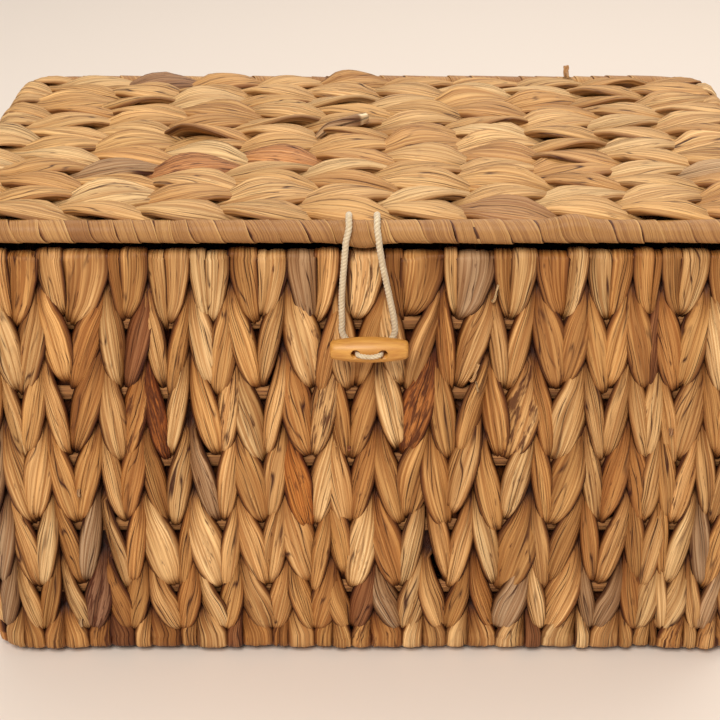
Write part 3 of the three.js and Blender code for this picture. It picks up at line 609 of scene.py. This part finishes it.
def wall_column(j, low, top, place, rng, marks=()):
    def edge(k, level):
        return np.interp(level, READ_AT, [low[k], top[k]])

    def centre(level):
        return (edge(j, level) + edge(j + 1, level)) / 2

    def pitch(level):
        return edge(j + 1, level) - edge(j, level)

    ends, v_side = (0, len(WALL_LEVELS) - 1), 1 if j % 2 else -1
    front, behind = (strand(half, ends, WALL_LEVELS, centre, pitch, v_side, WALL, rng, marks)
                     for half in (0, 1))
    foot, rim = fold_under_base(front), fold_over_rim(front, j)
    under, over = len(foot["c"]), len(rim["c"])
    along = np.array([0, 1, 0]) * np.arange(1, over + 1)[:, None, None]
    c, level, d = (np.concatenate([foot[key], front[key][::-1], rim[key]]) for key in ("c", "level", "d"))
    tone = np.concatenate([front["tone"][[-1] * under], front["tone"][::-1], front["tone"][[0] * over]])
    fibre = np.concatenate([front["fibre"][-1] + 1.5 * along[:under][::-1], front["fibre"][::-1],
                            front["fibre"][0] - 2 * along])
    hidden = {**behind, "rings": place(behind["c"], behind["level"], behind["d"])}
    return [tipped({"rings": place(c, level, d), "tone": tone, "fibre": fibre}), tipped(hidden)]


def wall_place(half_x, half_y, quarter):
    turn = quarter * math.pi / 2

    def place(c, level, d):
        past = np.maximum(np.abs(c) - (half_x - CORNER), 0) / CORNER
        d = d - CORNER_BULGE * np.clip((np.abs(c) - half_x + 45) / 40, 0, 1)
        x = np.sign(c) * (np.minimum(np.abs(c), half_x - CORNER) + (CORNER - d) * np.sin(past))
        y = CORNER - half_y - (CORNER - d) * np.cos(past)
        cos, sin = math.cos(turn), math.sin(turn)
        return joined(x * cos - y * sin, x * sin + y * cos, level)
    return place


print("columns of the front", len(FRONT_TOP) - 1)

# %% [markdown]
# Leaf is a plant, so a few ends stick out of the front and a flap has come loose. They are short tapering
# tubes at the places where the photograph shows them, and belong to the wall's own mesh.

# %% Loose ends
LOOSE_ENDS = [(-130.3, 90.6, 1.5, (0.5, -1.5), "#C39A70"), (-134.9, 20.5, 1.6, (0.8, -2.0), "#C9A276"),
              (-8.8, 112.6, 1.2, (0.4, 1.2), "#A86A48"), (133.2, 122.0, 1.5, (-0.6, -1.6), "#B98A62"),
              (52.5, 183.5, 0.9, (1.6, 9.0), "#E2BE8C"), (44.5, 146.0, 1.2, (2.6, 9.5), "#D9AA74"),
              (47.5, 141.0, 0.7, (-1.2, 6.0), "#E2BE8C")]


def loose_end(x, z, thick, reach, colour):
    path = smooth_path([(x, -103.5, z), (x, -108.5, z), (x + 0.3 * reach[0], -111.3, z + 0.25 * reach[1]),
                        (x + reach[0], -112.0, z + reach[1])], 0.5)
    end = tube(path, thick * np.linspace(1.0, 0.55, len(path)), 10, plies=2, groove=0.2, lay=40.0)
    return tipped(tinted(end, linear(colour)[:3] + [0.3]))


print("loose ends", len(LOOSE_ENDS))

# %% [markdown]
# All four walls are woven alike. The columns of the three that the photograph doesn't show are spaced
# evenly, with a little scatter.

# %% Weave the four walls
WALL_SEED, COLUMNS, SCATTER = 40, {"right": 20, "back": 34, "left": 20}, 1.3
FRONT_MARKS = [(-95.5, 137.6, "#A9652C", 1.0), (17.0, 137.6, "#B07038", 0.9),
               (-29.0, 103.75, "#C07C3A", 0.3), (-130.0, 36.0, "#8A6248", 0.7)]
for quarter, side in enumerate(("front", "right", "back", "left")):
    half_x, half_y = (HALF_WIDTH, HALF_DEPTH) if quarter % 2 == 0 else (HALF_DEPTH, HALF_WIDTH)
    rng = np.random.default_rng(WALL_SEED + quarter)
    low, top = np.array(FRONT_LOW), np.array(FRONT_TOP)
    if side != "front":
        reach = half_x - CORNER + CORNER * math.pi / 4
        columns = COLUMNS[side]
        low, top = (np.linspace(-reach, reach, columns + 1) for _ in range(2))
        low[1:-1] += rng.normal(0, SCATTER, columns - 1)
        top[1:-1] = low[1:-1] + rng.normal(0, SCATTER, columns - 1)
    place = wall_place(half_x, half_y, quarter)
    marks = FRONT_MARKS if side == "front" else ()
    strips = [strip for j in range(len(low) - 1) for strip in wall_column(j, low, top, place, rng, marks)]
    if side == "front":
        strips += [loose_end(*end) for end in LOOSE_ENDS]
    wall = skin(f"{side}_leaves", strips, leaf)
    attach(wall, "body")
    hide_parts(f"{side}_weave")

# %% [markdown]
# ## Lid and base
# The lid is twined in the same way, with its columns running from left to right round ten stakes, and
# broader leaves. The base is a plainer sheet of the same work, which shows inside and underneath. Near
# the middle of the lid one leaf has curled up and ends in a pale stub, a short tube like the loose ends.

# %% Values of lid and base
# The lid's tint is a painted sheen that makes its leaves paler and bluer, and the base's tint sets its
# painted brightness.
LID = {"depth": 14.0, "leaf_thickness": 4.6, "pitch": 17.1, "step": 33.9, "forward": LID_FORWARD,
       "spread": LID_SPREAD, "slant": 0.26, "roll": 0.25, "painted_light_tint": np.array([0.955, 1.085, 1.23, 1.0]),
       "shade": 0.1, "edges": THIN_EDGE_SHADE_MASK, "belly": 0.65, "odd": 0.1, "even": 0.35, "spots": 0.4}
BASE = {"depth": 9.0, "leaf_thickness": 3.6, "pitch": 16.1, "step": 36.0, "forward": LID_FORWARD,
        "spread": LID_SPREAD, "slant": 0.3, "roll": 0.25, "painted_light_tint": 0.97, "shade": 0.8, "edges": EDGE_SHADE_MASK,
        "belly": 0.45, "odd": 0.5, "even": 0.2, "spots": 1.0}
LID_MARKS = [(98.0, -120.0, "#97704F", 0.2), (-43.0, -88.0, "#B27A4A", 0.5),
             (-30.0, -33.0, "#BC8452", 0.35), (-47.0, -117.0, "#AE8A64", 0.1)]
CURL_PATH = [(-25, 5, 218.5), (-20, 8, 222), (-13, 11.5, 223.4), (-7, 15, 223.8), (-3, 17.6, 224.2),
             (-0.6, 19, 224.8)]
CURL_RADIUS, CURL_SPOTS, CURL_STOPS = 3.0, 0.2, [0, 0.82, 0.87]
CURL_TONES = np.array([linear(colour)[:3] + [CURL_SPOTS] for colour in ("#B58E64", "#8E6B4E", "#EED6AE")])


def curled_leaf():
    path = smooth_path(CURL_PATH, 0.6)
    share = np.linspace(0, 1, len(path))
    radius = CURL_RADIUS * np.interp(share, [0, 0.3, 0.8, 1], [0.5, 1, 1.05, 0.85])
    tone = np.column_stack([np.interp(share, CURL_STOPS, channel) for channel in CURL_TONES.T])
    return tipped(tinted(tube(path, radius, 14, plies=2, groove=0.35, lay=90.0), tone[:, None]))


# %% [markdown]
# At both ends the lid's rows bend down over the bar, whose corners are round. At the back they keep clear
# of the two hinge ties, and the last row lies a little lower. A plain flat sheet would stick out there.

# %% Rows of lid and base
END_BEND, LEAST_RADIUS = 16.0, 0.8
TIE_X, TIE_REACH, TIE_CLEAR, BACK_LIMIT, BACK_ROW_DROP = 107.5, 4.5, 8.4, 106.0, 1.2


def over_bar(c, level, depth, top):
    past = np.clip(np.abs(c) - (BAR_Y - BAR_CORNER), 0, BAR_CORNER - 0.5)
    bar = BAR_X - (BAR_CORNER - np.sqrt(BAR_CORNER**2 - past**2))
    near = np.clip((np.abs(level) - bar + END_BEND) / END_BEND, 0, 1)
    radius = np.maximum(top - BAR_Z - depth * (1 - 0.55 * near), LEAST_RADIUS)
    angle = np.maximum(np.abs(level) - bar, 0) / (top - BAR_Z)
    x = np.sign(level) * (np.minimum(np.abs(level), bar) + radius * np.sin(angle))
    return x, BAR_Z + radius * np.cos(angle)


def clear_of_ties(x, y, z):
    y = np.minimum(y, BACK_LIMIT)
    away = np.hypot(y - BAR_Y, z - BAR_Z)
    wanted = TIE_CLEAR * np.exp(-((np.abs(x) - TIE_X) / TIE_REACH) ** 4)
    out = np.maximum(away, wanted) / away
    return x, BAR_Y + (y - BAR_Y) * out, BAR_Z + (z - BAR_Z) * out


def flat_weave(name, weave, sides, rows, levels, ends, top, seed, marks=(), more=()):
    rng = np.random.default_rng(seed)
    edges = np.linspace(*sides, rows + 1)
    edges[1:-1] += rng.normal(0, 0.8, rows - 1)
    strips = []
    for j in range(rows):
        def centre(level):
            return (edges[j] + edges[j + 1]) / 2

        def pitch(level):
            return edges[j + 1] - edges[j]

        shift = rng.uniform(-0.12, 0.12)
        row_levels = levels + shift * weave["step"]
        row_ends = (ends[0] - shift, ends[1] - shift)
        for half in (0, 1):
            s = strand(half, row_ends, row_levels, centre, pitch, 1 if j % 2 else -1, weave, rng, marks)
            spots = s["level"], s["c"], top - s["d"]
            if weave is LID:
                x, z = over_bar(s["c"], s["level"], s["d"], top)
                spots = clear_of_ties(x, s["c"], z - (BACK_ROW_DROP if j == rows - 1 else 0))
            strips.append(tipped({**s, "rings": joined(*spots)}))
    return skin(name, [*strips, *more], broad_leaf)


LID_LEVELS, BASE_LEVELS = np.arange(-6.5, 6.6, 1) * 33.94, np.arange(-5, 5.1, 1) * 36.4
lid = flat_weave("lid_leaves", LID, sides=(-103.7, 106.5), rows=12, levels=LID_LEVELS, ends=(0.83, 12.17),
                 top=223.4, seed=7, marks=LID_MARKS, more=[curled_leaf()])
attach(lid, "lid")
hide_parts("lid_weave")
base = flat_weave("base_leaves", BASE, sides=(-100.0, 100.0), rows=12, levels=BASE_LEVELS,
                  ends=(0.43, 9.57), top=10.3, seed=8)
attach(base, "body")
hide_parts("base_weave")

# %% [markdown]
# ## Hoops of split stem
# The strands twine round five hoops, each a flat bundle of split stems that shows as a fibrous band in
# the gaps. A plain bent rod would look like wire, so the ring has ridges that wander as they go round.

# %% Hoops
stem, tree, shader = new_material("split_stem", 1.45, 0.75)
split = noise(tree, attribute(tree, "fibre")["Vector"], (0.7, 35, 1), 3.0, 0.6)
straw = mix(tree, remap(tree, split, 0.36, 0.62), "#6A3E1C", "#AC7642")
dress(tree, shader, straw, split, 0.8, 0.6)


def round_rectangle(half_x, half_y, radius, count):
    x, y, heading = [0.0], [-half_y], [-90.0]
    for k, (sx, sy) in enumerate(((1, -1), (1, 1), (-1, 1), (-1, -1))):
        for angle in np.linspace(-90, 0, 16) + 90 * k:
            x.append(sx * (half_x - radius) + radius * math.cos(math.radians(angle)))
            y.append(sy * (half_y - radius) + radius * math.sin(math.radians(angle)))
            heading.append(angle)
    x, y, heading = np.array(x + [0.0]), np.array(y + [-half_y]), np.array(heading + [270.0])
    gone = travelled(joined(x, y))
    s = np.linspace(0, gone[-1], count, endpoint=False)
    return s, np.interp(s, gone, x), np.interp(s, gone, y), np.radians(np.interp(s, gone, heading))


HOOP_SEED, HOOP_INSET, HALF_DEEP, HALF_TALL, RIDGES = 60, 6.3, 1.7, 3.3, 7
for number, height in enumerate(WALL_LEVELS[5:0:-1], 1):
    rng = np.random.default_rng(HOOP_SEED + number)
    s, x, y, heading = round_rectangle(HALF_WIDTH - HOOP_INSET, HALF_DEPTH - HOOP_INSET,
                                       CORNER - HOOP_INSET, 360)
    angle = circle(20)
    wander = sum(np.sin(2 * np.pi * k * s / s[-1] + rng.uniform(0, 6))[:, None] for k in (5, 11))
    ridge = 1 + 0.06 * np.cos(RIDGES * angle + 0.35 * wander)
    out, lift = HALF_DEEP * np.cos(angle) * ridge, HALF_TALL * np.sin(angle) * ridge
    rings = joined(x[:, None] + out * np.cos(heading)[:, None],
                   y[:, None] + out * np.sin(heading)[:, None], height + lift)
    lie = joined(angle * 2.6 + 0.3 * wander, s[:, None], 20.0 * number)
    hoop = skin(f"stem_hoop_{number}", [{"rings": rings, "fibre": lie}], stem, closed=True, folds=12)
    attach(hoop, "body")
    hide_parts(f"hoop_{number}")

# %% [markdown]
# ## Wrapped rim
# The lid's edge is a bar wound with a smooth split strip. Every turn laps over the one before it, so the
# rim shows slanting edges 6 to 15 mm apart. A spiral groove on a tube looks painted on, so the strip
# itself is modelled: a band that winds along the bar and rises across its width until it covers the next
# turn. It is lumpy where the photograph shows lumps.

# %% Rim strip
strip_skin, tree, shader = new_material("split_leaf_strip", 1.46, 0.5)
line = noise(tree, attribute(tree, "fibre")["Vector"], (0.5, 60, 1), 3.0)
veined = mix(tree, remap(tree, line, 0.33, 0.67), (0.68, 0.58, 0.5, 1.0), (1.23, 1.27, 1.3, 1.0))
dress(tree, shader, mix(tree, 1.0, attribute(tree, "tone")["Color"], veined, "MULTIPLY"), line, 1.0, 0.5)

TURN_GAP, TURN_STEPS, TURN_LENGTH, BAR_STEPS = 10.5, 28, 34.0, 4000
WRAP_RADIUS, LAP_RISE, STRIP_THICKNESS = 4.65, 0.35, 0.45
LUMPS, LUMP_REACH = ((-3.0, -1, 2.4), (84.0, 1, 2.6)), 8
FACE = [0, 0.08, 0.1, 0.13, 0.25, 0.55, 0.8, 0.98, 1.04, 1.08]
# Across each turn: painted shade where it comes out from under the lap, and a painted highlight on its
# raised edge.
FACE_SHADE_AND_HIGHLIGHT = ([0.08, 0.1, 0.13, 0.25, 0.98, 1.04], [0.2, 0.4, 0.88, 1.0, 1.0, 1.35])
STRIP_PAINTED_SHADE_HUE = np.array([0.85, 1.2, 1.5, 0.0])
rng = np.random.default_rng(91)
turns = round((4 * (BAR_X + BAR_Y) - 8 * BAR_CORNER + 2 * math.pi * BAR_CORNER) / TURN_GAP)
starts = np.concatenate([[0], rng.uniform(0.6, 1.4, turns).cumsum()])
starts /= starts[-1]
across = np.array(FACE + [1.08, 0.7, 0.3])
inner = np.arange(len(across)) >= len(FACE)
turn_number = np.arange(turns * TURN_STEPS)[:, None] / TURN_STEPS
wobble = rng.normal(0, 0.045, 4 * turns + 1)
strip_tone, swell = rng.normal(1.0, 0.13, turns + 1), rng.normal(0, 0.2, turns + 1)
for values in (wobble, strip_tone, swell):
    values[-1] = values[0]
wobble = np.interp(turn_number * 4, np.arange(4 * turns + 1), wobble)
strip_tone, swell = (np.interp(turn_number, np.arange(turns + 1), values)
                     for values in (strip_tone, swell))
at = np.interp((turn_number + across + wobble) % turns, np.arange(turns + 1), starts)
_, x, y, heading = round_rectangle(BAR_X, BAR_Y, BAR_CORNER, BAR_STEPS)
share = np.linspace(0, 1, BAR_STEPS + 1)
x, y = (np.interp(at, share, np.append(values, values[0])) for values in (x, y))
heading = np.interp(at, share, np.append(heading, heading[0] + 2 * math.pi))
angle = -2 * math.pi * turn_number + 0 * across
lump = sum(tall * np.exp(-((x - middle) / LUMP_REACH) ** 2) * np.clip(side * np.sin(angle), 0, 1)
           for middle, side, tall in LUMPS)
radius = WRAP_RADIUS + LAP_RISE * across + swell
radius = np.where(inner, radius - STRIP_THICKNESS, radius) + np.where(y < 0, lump, 0)
out, lift = radius * np.cos(angle), radius * np.sin(angle)
rings = joined(x + out * np.cos(heading), y + out * np.sin(heading), BAR_Z + lift)
# The strip's underside gets painted shade, and the painted shade turns redder as it darkens.
edge = np.where(inner, 0.6, np.interp(across, *FACE_SHADE_AND_HIGHLIGHT)) * strip_tone
tints = np.array(linear("#A67845")) * edge[..., None] ** STRIP_PAINTED_SHADE_HUE
wound = (turn_number + turns // 2) % turns * TURN_LENGTH
band = {"rings": rings, "tone": tints, "fibre": joined(across * TURN_GAP, wound, 0.0)}
wrap = skin("rim_wrap", [band], strip_skin, closed=True, folds=40)
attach(wrap, "lid")
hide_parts("lid_wrap_front", "lid_wrap_right", "lid_wrap_back", "lid_wrap_left")

# %% [markdown]
# ## Toggle
# A turned barrel of pale hardwood with a satin varnish, eased edges and two drilled holes. The barrel is
# a lathe profile. The holes are cut with a boolean, because the cord has to be seen going into them.
# The cut would tear its UV map, so the barrel goes without one.

# %% Toggle
wood, tree, shader = new_material("varnished_beech", 1.5, 0.5)
grain = noise(tree, object_space(tree), (0.016, 0.0011, 0.0011), 4.0, 0.6)
honey = mix(tree, remap(tree, grain, 0.35, 0.68), "#B87C34", "#D09746")
shader.inputs["Coat Weight"].default_value = 0.06
shader.inputs["Coat Roughness"].default_value = 0.2
dress(tree, shader, honey, grain, 0.15, 0.1)

TOGGLE = np.array([0.0, -121.6, 167.0])
HALF_LONG, END_RADIUS, BULGE, EASED = 16.5, 3.75, 1.75, 1.2
HOLE_PLACE, HOLE_RADIUS, DRILL_REACH = 5.8, 2.0, 8
end = np.array([15.4, 16.0, 16.4, HALF_LONG])
along = np.concatenate([-end[::-1], np.linspace(-14.6, 14.6, 25), end])
edge = np.clip((HALF_LONG - np.abs(along)) / EASED, 0, 1)
bulge = END_RADIUS + BULGE * (1 - (along / HALF_LONG) ** 2) - EASED * (1 - np.sqrt(1 - (1 - edge) ** 2))
spin = circle(48)
rings = joined(along[:, None], bulge[:, None] * np.cos(spin), bulge[:, None] * np.sin(spin))
toggle = skin("toggle_barrel", [{"rings": rings + TOGGLE}], wood)
holes = []
for x in (-HOLE_PLACE, HOLE_PLACE):
    bore = joined(x + HOLE_RADIUS * np.cos(spin), 0, HOLE_RADIUS * np.sin(spin))
    holes.append({"rings": np.stack([bore + TOGGLE + (0, y, 0) for y in (-DRILL_REACH, DRILL_REACH)])})
drills = skin("drills", holes, wood)
cut = toggle.modifiers.new("holes", "BOOLEAN")
cut.operation, cut.object, cut.solver = "DIFFERENCE", drills, "EXACT"
bpy.context.view_layer.update()
cut_mesh = bpy.data.meshes.new_from_object(toggle.evaluated_get(bpy.context.evaluated_depsgraph_get()))
toggle.modifiers.clear()
toggle.data = cut_mesh
cut_mesh.uv_layers.remove(cut_mesh.uv_layers["OFBake"])
bpy.data.objects.remove(drills)
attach(toggle, "toggle")
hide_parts("toggle")

# %% [markdown]
# The cord through the toggle goes in at one hole and out at the other, sags a little between them and
# closes behind the barrel. A second cord, the shank, holds it to the wall and ends in a knot inside.

# %% Lacing and shank
hole_in = [(-5.6, -114.8, 167.0), (-5.5, -118.0, 166.9), (-4.9, -125.4, 166.7)]
sag = [(-4.4, -127.3, 167.1), (-2.8, -127.9, 166.8), (0.0, -128.1, 166.6), (2.8, -127.9, 166.8),
       (4.4, -127.3, 167.1)]
hole_out = [(-x, y, z) for x, y, z in hole_in[::-1]]
behind_bar = [(4.6, -114.0, 167.0), (0.0, -113.8, 167.2), (-4.6, -114.0, 167.0)]
lacing_path = smooth_path(hole_in + sag + hole_out + behind_bar, 0.5)
lacing = skin("toggle_cord", [tube(lacing_path, 1.05, 14, plies=3, groove=0.3, lay=4.5)], cotton)
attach(lacing, "toggle")
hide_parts("toggle_lacing")
shank_path = smooth_path([(0, -114.4, 166.2), (0, -108, 165.8), (0, -100, 166.6), (0, -96, 167)], 0.6)
shank = skin("toggle_shank_cord", [tube(shank_path, 1.3, 16, plies=2, groove=0.3, lay=8.0),
                                   knot((0, -94.4, 167.0), 7.0, 2.8, 1.4)], cotton)
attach(shank, "body")
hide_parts("toggle_shank")

# %% [markdown]
# ## Hinge ties
# Two twisted leaf ties hold the lid's back bar to the rim. The ends of the right one stand up behind it,
# as in the photograph, and those of the left one hang. Like the cord, each is a tube with a slow twist.

# %% Hinge ties
for side, x, clear, hang_from, steeps, reach, thick in (
        ("left", -TIE_X, 6.35, (114.6, 212.2), (-60, -75), 2.5, 1.3),
        ("right", TIE_X, 6.5, (112.7, 219.7), (80, 60), 4.8, 1.6)):
    turn = np.radians(np.linspace(-10, 190, 9))
    ring = [(x, BAR_Y + clear * math.cos(a), BAR_Z + clear * math.sin(a)) for a in turn]
    below = [(x, 95.4, 200.7), (x, 96.7, 197.4), (x, 99.3, 196.8), (x, 107.7, 196.8), (x, 110.3, 197.4),
             (x, 111.6, 200.7)]
    loop = smooth_path(ring + below + ring[:2], 0.8)
    strips = [tube(loop, 0.8, 12, plies=2, groove=0.35, lay=9.0)]
    foot = np.array([x, *hang_from])
    for lean, steep, bend in zip((0.65, -0.65), np.radians(steeps), (0.8, -0.9)):
        up = np.array([0, math.cos(steep), math.sin(steep)])
        end = smooth_path([foot - up, foot + 0.3 * reach * up + (lean * 0.5, 0, 0),
                           foot + 0.65 * reach * up + (lean, 0.3 * bend, 0),
                           foot + reach * up + (lean * 1.1, bend * 0.5, 0)], 0.6)
        strips.append(tube(end, np.linspace(thick, 0.7, len(end)), 12, plies=2, groove=0.4, lay=7.0))
    strips = [tinted(strip, linear("#B98A58")) for strip in strips]
    tie = skin(f"hinge_tie_leaf_{side}", strips, strip_skin)
    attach(tie, "body")
    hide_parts(f"hinge_tie_{side}")

# %% [markdown]
# ## Wires, posts and stakes
# These solids are already the right shape, so they stay and get a finish: dark lacquer on iron wire, and
# fibrous stem on the stakes. Their mesh carries no ribbon coordinates, so the grain uses object space.

# %% Wire and stakes
wire, tree, shader = new_material("lacquered_iron_wire", 1.5, 0.6)
patch = noise(tree, object_space(tree), (1 / 180,) * 3, 3.0)
dress(tree, shader, mix(tree, patch, "#15110E", "#2A211B"))
stake, tree, shader = new_material("stem_stake", 1.45, 0.75)
grain = noise(tree, object_space(tree), (0.0008, 0.03, 0.0008), 2.0)
dress(tree, shader, mix(tree, grain, "#5E381A", "#B98850"), grain, 0.6, 0.4)
finishes = {"wire": wire, "ring": wire, "post": wire, "stake": stake}
for name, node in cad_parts.items():
    for word, finish in finishes.items():
        if word in name:
            node.data.materials.clear()
            node.data.materials.append(finish)

# %% [markdown]
# ## Floor and light
# The picture has one pale warm surface under soft light from all round, with a little more from the
# front and above, and only a thin contact shadow. A large plane, an even sky and two wide area lamps
# give that. A small lamp or a sun would draw hard shadows into every gap of the weave.

# %% Floor and light
floor_mesh = bpy.data.meshes.new("floor")
floor_mesh.from_pydata([(-6, -6, 0), (6, -6, 0), (6, 9, 0), (-6, 9, 0)], [], [(0, 1, 2, 3)])
floor = bpy.data.objects.new("floor", floor_mesh)
bpy.context.collection.objects.link(floor)
paper, _, shader = new_material("pale_paper", 1.45, 0.9)
shader.inputs["Base Color"].default_value = linear("#E5D9CF")
floor_mesh.materials.append(paper)
world = bpy.data.worlds.new("soft_room")
world.use_nodes = True
sky = world.node_tree.nodes["Background"]
sky.inputs["Color"].default_value = linear("#FFFBF6")
sky.inputs["Strength"].default_value = 0.31
bpy.context.scene.world = world
LAMPS = (("overhead", (0.4, 0.9, 1.7), 2.2, 31), ("front", (-0.3, -1.45, 1.55), 0.8, 37))
AIM = (0, 0, 0.12)
for name, place, size, power in LAMPS:
    lamp = bpy.data.objects.new(name, bpy.data.lights.new(name, "AREA"))
    lamp.data.size = size
    lamp.data.energy = power
    lamp.data.color = linear("#FFFAF2")[:3]
    lamp.location = place
    away = np.array(place) - AIM
    steep, around = math.acos(away[2] / np.linalg.norm(away)), math.atan2(away[1], away[0])
    lamp.rotation_euler = (steep, 0, around + math.pi / 2)
    bpy.context.collection.objects.link(lamp)
bpy.context.scene.view_settings.view_transform = "Standard"
